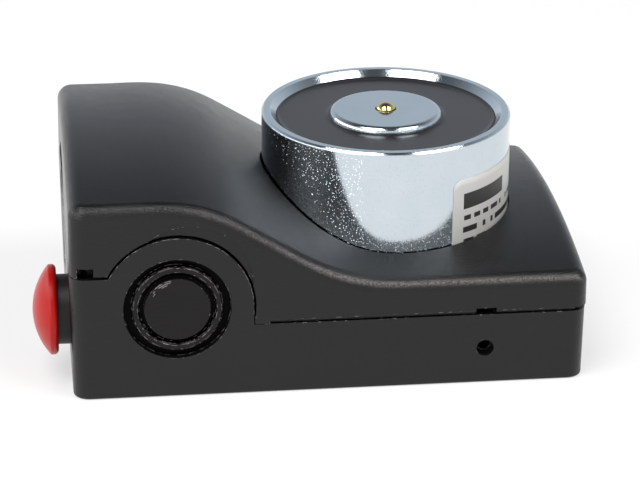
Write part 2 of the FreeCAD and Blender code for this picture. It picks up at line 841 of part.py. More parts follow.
def make_stem_clip():
    start = bridge_depth() + bridge_thickness
    ring = disc(clip_radius, 0, clip_thickness).cut(disc(stem_tip_radius, -overrun, clip_thickness + overrun))
    half = clip_mouth / 2
    opening = box(0, clip_radius + overrun, -half, half, -overrun, clip_thickness + overrun)
    return along_button(ring.cut(opening), start)


def make_switch_body():
    x0 = x_left + base_wall
    half = switch_width / 2
    body = box(x0, x0 + switch_length, button_y - half, button_y + half, button_height - half,
               button_height + half)
    guide_depth = base_wall + chamber_length
    room_start = x_left + guide_depth + partition
    room = box(room_start, x0 + switch_length + overrun, button_y - contact_half_width,
               button_y + contact_half_width, button_height - contact_half_height,
               button_height + contact_half_height)
    body = body.cut(along_button(disc(neck_radius + neck_play, -overrun, chamber_length), base_wall))
    body = body.cut(along_button(disc(stem_radius + stem_play, -overrun, partition + overrun), guide_depth))
    body = body.cut(room)
    for y in contact_rows():
        wide = contact_width / 2 + strip_play
        body = body.cut(box(room_start, room_start + contact_strip + strip_play, y - wide, y + wide,
                            button_height, button_height + half + overrun))
    return body


def make_switch_end_cap():
    x0 = x_left + base_wall + switch_length
    half = switch_width / 2
    plate = box(x0, x0 + end_cap_thickness, button_y - half, button_y + half, button_height - half,
                button_height + half)
    wide, high = contact_half_width - cradle_play, contact_half_height - cradle_play
    spigot = box(x0 - end_cap_thickness, x0, button_y - wide, button_y + wide, button_height - high,
                 button_height + high)
    inner = box(x0 - end_cap_thickness - overrun, x0, button_y - wide + end_cap_thickness,
                button_y + wide - end_cap_thickness, button_height - high + end_cap_thickness,
                button_height + high - end_cap_thickness)
    return joined(plate, spigot).cut(inner)


def make_switch_contacts():
    x0 = x_left + base_wall + chamber_length + partition
    top = button_height + switch_width / 2 + contact_stand
    half = contact_width / 2
    return [box(x0, x0 + contact_strip, y - half, y + half, button_height - contact_drop, top)
            for y in contact_rows()]


def make_circuit_board():
    board = box(board_x, board_end, board_y, board_back, board_bottom, board_top)
    board = board.makeFillet(board_corner, upright_edges(board, board_thickness / 2))
    posts = board_posts()
    for x, y in posts["screws"]:
        board = board.cut(disc(pilot_radius + peg_play, board_bottom - overrun, board_top + overrun, x, y))
    for x, y in posts["pegs"]:
        board = board.cut(disc(peg_radius + peg_play, board_bottom - overrun, board_top + overrun, x, y))
    return board


def make_board_screws():
    screws = []
    for x, y in board_posts()["screws"]:
        head = disc(board_screw_head, board_top, board_top + board_screw_head_height, x, y)
        head = head.makeChamfer(board_screw_head_bevel, edges_at(head, board_top + board_screw_head_height))
        screws.append(joined(head, disc(board_screw_radius, board_top - board_screw_length, board_top, x, y)))
    return screws


def terminal_rows():
    """Centre lines of the terminal block's poles."""
    return [terminal_y + pole_pitch * (i + 0.5) for i in range(poles)]


def clamp_place():
    """Lowest corner in X and Z of the clamps, and the height of their roof's underside."""
    x0 = terminal_x + (terminal_length - clamp_length) / 2
    z0 = board_top + clamp_lift
    return x0, z0, z0 + clamp_height - clamp_wall


def make_terminal_block():
    x0, x1 = terminal_x, terminal_x + terminal_length
    top = board_top + terminal_height
    outline = [Vector(x0, terminal_y, board_top), Vector(x1, terminal_y, board_top),
               Vector(x1, terminal_y, top), Vector(x0 + terminal_bevel, terminal_y, top),
               Vector(x0, terminal_y, top - terminal_bevel)]
    block = Part.Face(Part.makePolygon(outline + outline[:1])).extrude(Vector(0, poles * pole_pitch, 0))
    cx, cz, _ = clamp_place()
    half = clamp_width / 2 + clamp_play
    for y in terminal_rows():
        block = block.cut(box(x0 - overrun, cx + clamp_length + clamp_play, y - half, y + half,
                              cz, cz + clamp_height + clamp_play))
        block = block.cut(disc(terminal_well_radius, cz + clamp_height, top + overrun,
                               cx + clamp_length / 2, y))
    return block


def make_terminal_clamps():
    x0, z0, _ = clamp_place()
    half = clamp_width / 2
    clamps = []
    for y in terminal_rows():
        cage = box(x0, x0 + clamp_length, y - half, y + half, z0, z0 + clamp_height)
        cage = cage.cut(box(x0 - overrun, x0 + clamp_length + overrun, y - half + clamp_wall,
                            y + half - clamp_wall, z0 + clamp_wall, z0 + clamp_height - clamp_wall))
        clamps.append(cage.cut(disc(terminal_screw_radius + clamp_play, z0 + clamp_height / 2,
                                    z0 + clamp_height + overrun, x0 + clamp_length / 2, y)))
    return clamps


def make_terminal_screws():
    x0, z0, _ = clamp_place()
    x = x0 + clamp_length / 2
    roof = z0 + clamp_height
    head_top = roof + terminal_screw_rise
    screws = []
    for y in terminal_rows():
        screw = joined(disc(terminal_screw_radius, roof - terminal_screw_reach, head_top, x, y),
                       disc(terminal_head_radius, head_top - terminal_head_height, head_top, x, y))
        half = terminal_slot / 2
        screws.append(screw.cut(box(x - terminal_well_radius, x + terminal_well_radius, y - half, y + half,
                                    head_top - terminal_slot_depth, head_top + overrun)))
    return screws


def wire_section(centre, along, normal, radius):
    """Section of a wire at a point of its path, which lies in one plane."""
    across = along.cross(normal).normalize()
    step = 2 * math.pi / wire_sides
    corners = [centre + normal * (radius * math.cos(i * step)) + across * (radius * math.sin(i * step))
               for i in range(wire_sides)]
    return Part.Face(Part.makePolygon(corners + corners[:1]))


def bent_wire(points, radius):
    """Wire along straight runs in one plane, joined by bends as large as the runs allow."""
    normal = (points[1] - points[0]).cross(points[2] - points[1]).normalize()
    pieces = []
    start = points[0]
    for before, corner, after in zip(points, points[1:], points[2:]):
        come, leave = (before - corner), (after - corner)
        turn = math.pi - come.getAngle(leave)
        room = bend_share * min(come.Length, leave.Length)
        bend = min(largest_bend, room / math.tan(turn / 2))
        setback = bend * math.tan(turn / 2)
        come.normalize()
        leave.normalize()
        first = corner + come * setback
        centre = corner + (come + leave).normalize() * math.hypot(setback, bend)
        pieces.append(wire_section(start, come, normal, radius).extrude(first - start))
        pieces.append(wire_section(first, come, normal, radius).revolve(
            centre, leave.cross(come), math.degrees(turn)))
        start = corner + leave * setback
    pieces.append(wire_section(start, leave, normal, radius).extrude(points[-1] - start))
    return joined(*pieces)


def make_suppression_diode():
    x = (board_x + board_end) / 2
    y = terminal_y + poles * pole_pitch + diode_gap + diode_radius
    axis = board_top + diode_lift + diode_radius
    x0, x1 = x - diode_span / 2, x + diode_span / 2
    wire = bent_wire([Vector(x0, y, board_top), Vector(x0, y, axis), Vector(x1, y, axis),
                      Vector(x1, y, board_top)], diode_wire)
    body = rod(diode_radius, Vector(x - diode_length / 2, y, axis), Vector(x + diode_length / 2, y, axis))
    return joined(body, wire)


def make_coil_leads():
    leads = []
    for side, setback in zip((-1, 1), coil_lead_pads):
        pad = board_end - setback
        y = coil_lead_y + side * coil_lead_spacing / 2
        leads.append(bent_wire([Vector(coil_lead_x, y, coil_floor), Vector(coil_lead_x, y, coil_lead_height),
                                Vector(pad, y, coil_lead_height), Vector(pad, y, board_top)], lead_radius))
    return leads


def make_switch_leads():
    x = x_left + base_wall + chamber_length + partition + contact_strip / 2
    top = button_height + switch_width / 2 + contact_stand
    leads = []
    for y, height, setback in zip(contact_rows()[::-1], switch_lead_height, switch_lead_pads):
        pad = board_y + setback
        leads.append(bent_wire([Vector(x, y, top), Vector(x, y, height), Vector(x, pad, height),
                                Vector(x, pad, board_top)], lead_radius))
    return leads


NODES = {
    "base_shell": make_base_shell,
    "cover_shell": make_cover_shell,
    "magnet_pot": make_magnet_pot,
    "pole_core": make_pole_core,
    "coil_bobbin": make_coil_bobbin,
    "coil_winding": make_coil_winding,
    "potting_ring": make_potting_ring,
    "magnet_label": make_magnet_label,
    "ejector_pin": make_ejector_pin,
    "ejector_spring": make_ejector_spring,
    "spring_set_screw": make_spring_set_screw,
    "magnet_screw": make_magnet_screw,
    "lock_washer": make_lock_washer,
    "button_cap": make_button_cap,
    "button_plunger": make_button_plunger,
    "button_spring": make_button_spring,
    "contact_bridge": make_contact_bridge,
    "stem_clip": make_stem_clip,
    "switch_body": make_switch_body,
    "switch_end_cap": make_switch_end_cap,
    "switch_contacts": make_switch_contacts,
    "circuit_board": make_circuit_board,
    "board_screws": make_board_screws,
    "terminal_block": make_terminal_block,
    "terminal_clamps": make_terminal_clamps,
    "terminal_screws": make_terminal_screws,
    "suppression_diode": make_suppression_diode,
    "coil_leads": make_coil_leads,
    "switch_leads": make_switch_leads,
}

os.makedirs("parts", exist_ok=True)
for node, make in NODES.items():
    made = make()
    solids = [s for piece in (made if isinstance(made, list) else [made]) for s in piece.Solids]
    shape = solids[0] if len(solids) == 1 else Part.makeCompound(solids)
    shape.exportStep(f"parts/{node}.step")
    size = shape.BoundBox
    print(f"{node:18s} {len(solids)} solid(s) {shape.Volume:9.1f} mm3 valid {shape.isValid()}"
          f"  x {size.XMin:.1f}..{size.XMax:.1f} y {size.YMin:.1f}..{size.YMax:.1f} z {size.ZMin:.1f}..{size.ZMax:.1f}")
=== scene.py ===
# %% [markdown]
# # An electromagnetic door holder
# The object is a holding magnet in a two-part moulded housing. It is screwed to a wall, and its magnet
# keeps a fire door open until somebody presses the red button. This lesson dresses the measured solids
# of that holder: every piece already has its size and place, so the work here is finish, light and the
# small forms that machines leave on a surface, such as eased edges, wire turns and threads.

# %% Load the measured pieces
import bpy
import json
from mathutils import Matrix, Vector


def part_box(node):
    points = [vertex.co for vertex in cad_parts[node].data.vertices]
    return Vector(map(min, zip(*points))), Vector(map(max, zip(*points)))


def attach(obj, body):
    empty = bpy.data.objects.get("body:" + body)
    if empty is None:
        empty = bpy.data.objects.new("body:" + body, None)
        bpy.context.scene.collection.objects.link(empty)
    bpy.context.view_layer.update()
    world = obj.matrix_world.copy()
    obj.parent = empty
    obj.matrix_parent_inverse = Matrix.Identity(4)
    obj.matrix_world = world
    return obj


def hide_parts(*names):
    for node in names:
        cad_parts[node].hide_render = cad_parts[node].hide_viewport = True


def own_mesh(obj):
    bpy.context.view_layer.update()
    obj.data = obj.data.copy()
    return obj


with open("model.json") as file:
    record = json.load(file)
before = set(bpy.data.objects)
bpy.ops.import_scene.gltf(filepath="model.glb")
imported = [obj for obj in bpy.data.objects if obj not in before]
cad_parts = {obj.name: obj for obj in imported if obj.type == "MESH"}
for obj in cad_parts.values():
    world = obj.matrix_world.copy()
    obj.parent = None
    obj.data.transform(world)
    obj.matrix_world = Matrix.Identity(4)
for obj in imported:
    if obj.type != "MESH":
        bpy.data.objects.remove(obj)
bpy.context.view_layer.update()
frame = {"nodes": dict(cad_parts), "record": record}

import json
import math

import bmesh
import bpy
from mathutils import Matrix, Vector

MM = 0.001

# %% [markdown]
# Photographs give colours as sRGB values, the numbers that a colour picker shows. A shader works with
# linear light instead. One function turns the first into the second, so that every colour below can be
# written as it is seen. Another one adds a node to a tree: its settings are the node's own switches, and
# each input takes a plain value, a socket, or a node whose first output feeds it. Three more start a
# material, lay one colour over another by its share of the surface, and feed the shader.

# %% Helpers for colours and nodes
white = (1, 1, 1, 1)


def colour(hex_code, alpha=1.0):
    """Linear colour of an sRGB hex code such as "#c8281c"."""
    parts = [int(hex_code[i:i + 2], 16) / 255 for i in (1, 3, 5)]
    linear = [p / 12.92 if p <= 0.04045 else ((p + 0.055) / 1.055) ** 2.4 for p in parts]
    return (*linear, alpha)


def plug(tree, value, socket):
    """Feeds an input from a socket, from a node's first output or from a plain value."""
    if isinstance(value, bpy.types.Node):
        value = value.outputs[0]
    if isinstance(value, bpy.types.NodeSocket):
        tree.links.new(value, socket)
    else:
        socket.default_value = value


def add_node(tree, kind, inputs=None, **settings):
    """Adds a node with its settings, and feeds its inputs, which are named or numbered."""
    made = tree.nodes.new(kind)
    for name, value in settings.items():
        setattr(made, name, value)
    for key, value in (inputs or {}).items():
        plug(tree, value, made.inputs[key])
    return made


def new_material(name, **shader_values):
    """A material, its node tree, its shader with plain numbers set, and the place on the piece."""
    made = bpy.data.materials.new(name)
    made.use_nodes = True
    tree = made.node_tree
    shader = tree.nodes["Principled BSDF"]
    feed(shader, **shader_values)
    return made, tree, shader, add_node(tree, "ShaderNodeTexCoord").outputs["Object"]


def layered(tree, base, *layers):
    """A colour with others laid over it. Each layer is a share of the surface and its colour."""
    for share, paint in layers:
        base = add_node(tree, "ShaderNodeMix", {0: share, 6: base, 7: paint}, data_type="RGBA").outputs[2]
    return base


def feed(shader, **values):
    """Feeds inputs of a shader, such as Base_Color or Normal."""
    for name, value in values.items():
        plug(shader.id_data, value, shader.inputs[name.replace("_", " ")])


print("linear light of a mid grey:", round(colour("#808080")[0], 3))

# %% [markdown]
# Blender keeps a shape and the object that shows it apart: a mesh, lamp or camera is data, and an object
# puts it into the scene. A shape that is built face by face starts as a bmesh, Blender's editing form,
# and is kept as a plain mesh in the end.

# %% Helpers for objects and meshes
def new_object(name, data):
    """An object in the scene that shows a mesh, a lamp or a camera."""
    made = bpy.data.objects.new(name, data)
    bpy.context.scene.collection.objects.link(made)
    return made


def kept_mesh(shape, name):
    """The plain mesh of a bmesh, which is then freed."""
    mesh = bpy.data.meshes.new(name)
    shape.to_mesh(mesh)
    shape.free()
    return mesh


# %% [markdown]
# The picture was taken from a little left of the front and from above, with a long lens. A camera is
# placed by three unit vectors: the one that points back from the object to the lens, the one to its
# right and the one up. A small roll turns the last two. The lens in millimetres follows from the focal
# length in pixels, because the sensor is 36 mm wide for 640 pixels.

# %% Camera
camera_yaw = math.radians(6.79)
camera_elevation = math.radians(23.26)
camera_roll = math.radians(0.4)
camera_distance = 559.43 * MM
camera_target = Vector((-13.36, -2.02, 17.42)) * MM
focal_pixels = 2744.99
picture_width = 640
sensor_width = 36

back = Vector((-math.sin(camera_yaw) * math.cos(camera_elevation),
               -math.cos(camera_yaw) * math.cos(camera_elevation), math.sin(camera_elevation)))
right = Vector((math.cos(camera_yaw), -math.sin(camera_yaw), 0))
up = back.cross(right)
rolled_right = right * math.cos(camera_roll) + up * math.sin(camera_roll)
rolled_up = up * math.cos(camera_roll) - right * math.sin(camera_roll)

camera = new_object("camera", bpy.data.cameras.new("camera"))
camera.data.sensor_width = sensor_width
camera.data.lens = focal_pixels / picture_width * sensor_width
turn = Matrix((rolled_right, rolled_up, back)).transposed().to_4x4()
camera.matrix_world = Matrix.Translation(camera_target + back * camera_distance) @ turn
bpy.context.scene.camera = camera
print("lens", round(camera.data.lens, 1), "mm")

# %% [markdown]
# The studio is a white table under two wide softboxes with a dark gap between them. That gap matters:
# polished steel shows it as the dark break in the middle of each bright strip, and without it the metal
# looks like plain white paint. The table and the world are white to the lens and to reflections, while
# the light that they add to the object stays at a plain level, so that colours render as written.

# %% Table, world and lamps
table_half = 2.5
table_drop = 0.05 * MM
table_colour = colour("#f4f4f4")
table_shadow = 0.45           # how much of the lit table, with its shadows, the lens sees
world_level = 0.22            # light from the world on the object
dark_room = (0.07, 0.07, 0.075, 1)   # what the object mirrors of the ceiling behind the camera
pale_wall = (0.92, 0.96, 1.0, 1)     # and of the wall behind the camera
dome_shades = (               # height on the dome of the other sides, from 0 to 1, and its colour there
    (0.0, (0.72, 0.76, 0.82, 1)),
    (0.40, (0.50, 0.56, 0.63, 1)),
    (0.85, (0.05, 0.055, 0.06, 1)),
)
# One part of that mirrored room turns into the next between two values of a direction's X, Y or Z.
beside_from, beside_to = 0.14, 0.32
behind_from, behind_to = -0.5, -0.2
front_from, front_to = -0.35, -0.1
wall_top_from, wall_top_to = 0.56, 0.68
lamps = {                     # place, aim, width, height and power of each softbox, in metres and watts
    "overhead_left": ((-0.485, -0.50, 1.26), (-0.485, -0.50, 0), 0.73, 0.90, 13.0),
    "overhead_right": ((0.735, -0.50, 1.26), (0.735, -0.50, 0), 0.75, 0.90, 14.0),
    "left_wall": ((-1.18, -0.21, 0.51), (0, 0, 0.02), 3.20, 0.60, 14.0),
}

corners = [(x * table_half, y * table_half, -table_drop) for x, y in ((-1, -1), (1, -1), (1, 1), (-1, 1))]
table_mesh = bpy.data.meshes.new("table")
table_mesh.from_pydata(corners, [], [(0, 1, 2, 3)])
table = new_object("table", table_mesh)

table_paint = bpy.data.materials.new("white_table")
table_paint.use_nodes = True
tree = table_paint.node_tree
tree.nodes.clear()
matt = add_node(tree, "ShaderNodeBsdfDiffuse", {"Color": table_colour})
glow = add_node(tree, "ShaderNodeEmission", {"Color": white, "Strength": 1.0})
rays = add_node(tree, "ShaderNodeLightPath")
seen = add_node(tree, "ShaderNodeMath", {0: rays.outputs["Is Camera Ray"],
                                         1: rays.outputs["Is Glossy Ray"]}, operation="MAXIMUM")
share = add_node(tree, "ShaderNodeMath", {0: seen, 1: 1 - table_shadow}, operation="MULTIPLY")
mixed = add_node(tree, "ShaderNodeMixShader", {0: share, 1: matt, 2: glow})
add_node(tree, "ShaderNodeOutputMaterial", {"Surface": mixed})
table_mesh.materials.append(table_paint)

world = bpy.data.worlds.new("studio")
bpy.context.scene.world = world
world.use_nodes = True
tree = world.node_tree
tree.nodes.clear()
way = add_node(tree, "ShaderNodeTexCoord")
parts = add_node(tree, "ShaderNodeSeparateXYZ", {0: way.outputs["Generated"]})
dome = add_node(tree, "ShaderNodeValToRGB", {0: parts.outputs["Z"]})
dome.color_ramp.elements.new(0.5)
for stop, (height, shade) in zip(dome.color_ramp.elements, dome_shades):
    stop.position = height
    stop.color = shade
sideways = add_node(tree, "ShaderNodeMath", {0: parts.outputs["X"]}, operation="ABSOLUTE")
beside = add_node(tree, "ShaderNodeMapRange", {0: sideways, 1: beside_from, 2: beside_to})
behind = add_node(tree, "ShaderNodeMapRange", {0: parts.outputs["Y"], 1: behind_from, 2: behind_to})
open_wall = add_node(tree, "ShaderNodeMath", {0: beside, 1: behind}, operation="MAXIMUM")
below_top = add_node(tree, "ShaderNodeMapRange", {0: parts.outputs["Z"], 1: wall_top_from,
                                                  2: wall_top_to, 3: 1.0, 4: 0.0})
in_front = add_node(tree, "ShaderNodeMapRange", {0: parts.outputs["Y"], 1: front_from, 2: front_to,
                                                 3: 1.0, 4: 0.0})
low_in_front = add_node(tree, "ShaderNodeMath", {0: below_top, 1: in_front}, operation="MULTIPLY")
walls = layered(tree, dark_room, (open_wall, dome), (low_in_front, pale_wall))
rays = add_node(tree, "ShaderNodeLightPath")
lit = add_node(tree, "ShaderNodeBackground", {"Color": white, "Strength": world_level})
mirrored = add_node(tree, "ShaderNodeBackground", {"Color": walls, "Strength": 1.0})
backdrop = add_node(tree, "ShaderNodeBackground", {"Color": white, "Strength": 1.0})
for_object = add_node(tree, "ShaderNodeMixShader", {0: rays.outputs["Is Glossy Ray"], 1: lit, 2: mirrored})
for_lens = add_node(tree, "ShaderNodeMixShader", {0: rays.outputs["Is Camera Ray"],
                                                  1: for_object, 2: backdrop})
add_node(tree, "ShaderNodeOutputWorld", {"Surface": for_lens})

for name, (place, aim, width, height, watts) in lamps.items():
    lamp = new_object(name, bpy.data.lights.new(name, "AREA"))
    lamp.data.shape = "RECTANGLE"
    lamp.data.size, lamp.data.size_y = width, height
    lamp.data.energy = watts
    lamp.location = place
    lamp.rotation_euler = (Vector(aim) - Vector(place)).to_track_quat("-Z", "Y").to_euler()

bpy.context.scene.view_settings.view_transform = "Standard"
print("table, world and", len(lamps), "lamps")

# %% [markdown]
# The frame knows which body carries each measured piece and which finish it has. A piece whose measured
# shape is already right keeps it and only gets a better material. A piece whose real form is finer, such
# as a wound coil, is made anew and takes the place of the measured one on the same body.

# %% Dressing and seating
carrier = {node: body for body, nodes in frame["record"]["behaviour"]["bodies"].items() for node in nodes}


def dress(node, material):
    """Gives a measured piece its material and leaves its mesh alone."""
    measured = frame["nodes"][node]
    measured.data.materials.clear()
    measured.data.materials.append(material)


def seat(piece, node, material=None):
    """Puts a finished piece in the place of a measured one, on the same body."""
    if material:
        piece.data.materials.append(material)
    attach(piece, carrier[node])
    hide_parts(node)
    return piece


print(len(carrier), "pieces to dress")

# %% [markdown]
# The cable entries are knock-outs: a disc that can be broken out, with two ring grooves and a raised ring
# round it. The insert that forms them in the tool is polished. The grooves are deep and narrow, and their
# shade is painted: a near-black colour and a dark tint on their reflection. A material can find them by
# measuring: the distance of each point from the entry's axis tells groove, ring and disc apart. A band is
# the test that this takes, one between two limits and zero elsewhere, and the largest of several bands
# covers all of them.

# %% Masks for the knock-outs
entry_height = 18.6 * MM
entry_x = -44.7 * MM
entry_y = 12.0 * MM
disc_edge = 6.45 * MM
ring_inner = 7.5 * MM
ring_outer = 8.65 * MM
groove_edge = 10.36 * MM
collar_edge = 14.75 * MM
wall_depth = 4.0 * MM
lowest, highest = -2.0, 2.0   # beyond any place, share or cosine, for a band that is open on one side


def band(tree, value, low=lowest, high=highest, share=1.0):
    """The share where a value lies between two limits, zero elsewhere."""
    over = add_node(tree, "ShaderNodeMath", {0: value, 1: low}, operation="GREATER_THAN")
    under = add_node(tree, "ShaderNodeMath", {0: value, 1: high}, operation="LESS_THAN")
    inside = add_node(tree, "ShaderNodeMath", {0: over, 1: under}, operation="MULTIPLY")
    scaled = add_node(tree, "ShaderNodeMath", {0: inside, 1: share}, operation="MULTIPLY")
    return scaled


def largest(tree, *shares):
    """The largest of several shares, for what lies in any of them."""
    found = shares[0]
    for share in shares[1:]:
        found = add_node(tree, "ShaderNodeMath", {0: found, 1: share}, operation="MAXIMUM")
    return found


def axis_distance(tree, where, centre, across):
    """Distance of each point from an axis. The two directions that count are 1 in across."""
    flat = add_node(tree, "ShaderNodeVectorMath", {0: where, 1: across}, operation="MULTIPLY")
    away = add_node(tree, "ShaderNodeVectorMath", {0: flat, 1: centre}, operation="DISTANCE")
    return away.outputs["Value"]


def entry_bands(tree, where, limits):
    """One between two distances from the axis of each cable entry, on the three walls that have one."""
    low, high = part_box("base_shell")
    place = add_node(tree, "ShaderNodeSeparateXYZ", {0: where}).outputs
    across = add_node(tree, "ShaderNodeMath", {0: place["Y"]}, operation="ABSOLUTE")
    on_side = band(tree, across, low=high.y - wall_depth)
    on_end = band(tree, place["X"], high=low.x + wall_depth)
    side = axis_distance(tree, where, (entry_x, 0, entry_height), (1, 0, 1))
    end = axis_distance(tree, where, (0, entry_y, entry_height), (0, 1, 1))
    return largest(tree, band(tree, side, *limits, share=on_side), band(tree, end, *limits, share=on_end))


print("entries at x", entry_x, "and y", entry_y)

# %% [markdown]
# The housing is ABS, a tough plastic, moulded in a tool whose walls were eaten by sparks. That leaves
# a fine, even grain, which breaks every highlight into small bright points. The real grain is about
# 0.1 mm, too fine for this picture, so it is drawn at 0.28 mm. The tool's corners are never quite sharp:
# a Bevel node rounds the shading of each edge by a tenth of a millimetre or so, and where it bends the
# normal, handling has left pale specks. On the collar's arches and the knock-out rings, more specks are
# painted as thin highlight lines along the edges. The long round shoulders carry a painted highlight, a
# grainy brown band that is faint near the button, and the deep knock-out grooves carry painted shade.
# Somebody has tried the front knock-out with a tool and left a few short scratches along the edge of its
# disc, and dust lies here and there.

# %% Spark-eroded black ABS
grain_mm = 0.28
grain_depth = 0.14 * MM
cloud_mm = 9
speck_mm = 0.9
highlight_grain_mm = 0.26
edge_ease = 0.14 * MM
edge_turn = 0.985             # cosine of the turn from which an edge can be worn or carry a painted highlight
worn_from = 0.60              # the speck noise from which it is
ring_and_arch_highlight = 0.09              # added to that noise on the rings and arches, for their painted highlight lines
arch_inside, arch_outside = 0.5 * MM, 0.1 * MM   # of the collar's edge, for the painted highlight on the arches
dust_pitch = 7.0
dust_size = 0.014             # share of the pitch
dusty_from = 0.4              # the random number from which a cell of that pitch holds a speck
scratch_pitch = 0.36 * MM     # from one scratch to the next
scratch_width = 0.10 * MM
scratch_reach = (5.2 * MM, 6.2 * MM)             # from the entry's axis
scratch_x = (entry_x - 4.6 * MM, entry_x - 1.2 * MM)
scratch_z = entry_height + 2.4 * MM
scratch_from = 0.50           # the speck noise from which a scratch is deep enough to show
shoulder_slope = 0.77         # sideways part of the normal where the painted highlight is brightest
shoulder_width = 0.21         # and how far from it the painted highlight has faded out
upper_from, upper_to = 0.15, 0.45                # upward part of the normal
highlight_from_x, highlight_to_x = -45 * MM, -22 * MM    # along X, over which the painted highlight grows away from the button
least_highlight = 0.06
highlight_grain_from, highlight_grain_to = 0.36, 0.66
least_highlight_grain = 0.1
rough_range = (0.20, 0.27)
polished_rough = 0.12
relief_range = (0.85, 0.02)   # of the grain, on the skin and on the polished insert's rings
tool_black = colour("#0e0d0d")
tool_grey = colour("#151313")
# painted shade of the knock-out grooves, in their colour and in the tint of their reflection
groove_shade_black = colour("#040404")
groove_shade_tint = colour("#4c4c4c")
inset_return = colour("#cfcdcc")   # the tool's insert leaves a calmer, darker skin on disc and ring
# pale specks of wear, dust and scratches, and the painted highlight lines on the arches and rings
pale_marks_and_highlight = colour("#a8a6a4")
# colour of the painted highlight on the round shoulders
highlight_brown = colour("#6c6663")

black_abs, tree, shader, where = new_material("black_abs_spark_eroded", IOR=1.54, Specular_IOR_Level=0.31)
# Painted shade: the deep knock-out grooves get a near-black colour and a dark tint on their reflection.
painted_groove_shade = largest(tree, entry_bands(tree, where, (ring_outer, groove_edge)),
                 entry_bands(tree, where, (disc_edge, ring_inner)))
polished = entry_bands(tree, where, (disc_edge, groove_edge))
inset = entry_bands(tree, where, (lowest, groove_edge))
arch_highlight = entry_bands(tree, where, (collar_edge - arch_inside, collar_edge + arch_outside))

cloud = add_node(tree, "ShaderNodeTexNoise", {"Vector": where, "Scale": 1 / (cloud_mm * MM), "Detail": 4.0})
grain = add_node(tree, "ShaderNodeTexNoise", {"Vector": where, "Scale": 1 / (grain_mm * MM), "Detail": 1.5})
specks = add_node(tree, "ShaderNodeTexNoise", {"Vector": where, "Scale": 1 / (speck_mm * MM), "Detail": 3.0})
dust = add_node(tree, "ShaderNodeTexVoronoi", {"Vector": where, "Scale": 1 / (dust_pitch * MM)})
dust_pick = add_node(tree, "ShaderNodeSeparateColor", {0: dust.outputs["Color"]})
dusty = band(tree, dust.outputs["Distance"], high=dust_size,
             share=band(tree, dust_pick.outputs[0], low=dusty_from))

eased = add_node(tree, "ShaderNodeBevel", {"Radius": edge_ease}, samples=4)
face = add_node(tree, "ShaderNodeNewGeometry").outputs["Normal"]
along = add_node(tree, "ShaderNodeVectorMath", {0: eased, 1: face}, operation="DOT_PRODUCT")
# Pale specks of wear on eased edges, with more on the collar's arches and knock-out rings as painted
# highlight lines.
likely = add_node(tree, "ShaderNodeMath", {0: largest(tree, arch_highlight, polished), 1: ring_and_arch_highlight, 2: specks},
                  operation="MULTIPLY_ADD")
worn_and_highlit_edges = band(tree, along.outputs["Value"], high=edge_turn, share=band(tree, likely, low=worn_from))

reach = axis_distance(tree, where, (entry_x, 0, entry_height), (1, 0, 1))
lines = add_node(tree, "ShaderNodeMath", {0: reach, 1: scratch_pitch}, operation="MODULO")
place = add_node(tree, "ShaderNodeSeparateXYZ", {0: where}).outputs
upper_left = band(tree, place["X"], *scratch_x, band(
    tree, place["Z"], low=scratch_z, share=band(tree, place["Y"], high=0.0)))
scratched = band(tree, lines, high=scratch_width, share=band(
    tree, reach, *scratch_reach, band(tree, specks, low=scratch_from, share=upper_left)))

# Painted highlight: a grainy brown band on the round shoulders, by their normal and by X, faint near the
# button.
facing = add_node(tree, "ShaderNodeSeparateXYZ", {0: face}).outputs
sideways = add_node(tree, "ShaderNodeMath", {0: facing["Y"]}, operation="ABSOLUTE")
apart = add_node(tree, "ShaderNodeMath", {0: sideways, 1: shoulder_slope}, operation="SUBTRACT")
apart = add_node(tree, "ShaderNodeMath", {0: apart}, operation="ABSOLUTE")
shoulder = add_node(tree, "ShaderNodeMapRange", {0: apart, 2: shoulder_width, 3: 1.0, 4: 0.0},
                    interpolation_type="SMOOTHSTEP")
upper = add_node(tree, "ShaderNodeMapRange", {0: facing["Z"], 1: upper_from, 2: upper_to})
highlight_along_x = add_node(tree, "ShaderNodeMapRange", {0: place["X"], 1: highlight_from_x, 2: highlight_to_x,
                                                3: least_highlight})
highlight_grain = add_node(tree, "ShaderNodeTexNoise", {"Vector": where, "Scale": 1 / (highlight_grain_mm * MM), "Detail": 2.0})
painted_highlight = add_node(tree, "ShaderNodeMapRange", {0: highlight_grain, 1: highlight_grain_from, 2: highlight_grain_to, 3: least_highlight_grain})
for share in (shoulder, upper, highlight_along_x):
    painted_highlight = add_node(tree, "ShaderNodeMath", {0: painted_highlight, 1: share}, operation="MULTIPLY")

skin = layered(tree, tool_black, (cloud, tool_grey), (painted_highlight, highlight_brown), (painted_groove_shade, groove_shade_black),
               (largest(tree, worn_and_highlit_edges, dusty, scratched), pale_marks_and_highlight))
tint_and_groove_shade = layered(tree, white, (inset, inset_return), (painted_groove_shade, groove_shade_tint))
rough = add_node(tree, "ShaderNodeMapRange", {0: cloud, 3: rough_range[0], 4: rough_range[1]})
gloss = add_node(tree, "ShaderNodeMix", {0: polished, 2: rough, 3: polished_rough})
relief = add_node(tree, "ShaderNodeMapRange", {0: polished, 3: relief_range[0], 4: relief_range[1]})
bump = add_node(tree, "ShaderNodeBump", {"Strength": relief, "Distance": grain_depth,
                                         "Height": grain, "Normal": eased})
feed(shader, Base_Color=skin, Specular_Tint=tint_and_groove_shade, Roughness=gloss, Normal=bump)
for node in ("base_shell", "cover_shell"):
    dress(node, black_abs)
print("housing dressed")

# %% [markdown]
# The magnet's pot and pole are turned from soft iron and zinc plated. Bright zinc mirrors the studio, a
# little blue, and here and there a crystal stands at an angle. In a bright reflection nobody sees these,
# but where the steel mirrors the black housing they light up as glitter. Each cell of a Voronoi texture
# stands for one crystal, and its random colour decides whether and how far its normal rises. Real
# crystals are finer than 0.1 mm, and are drawn at 0.13 mm so that single ones show.

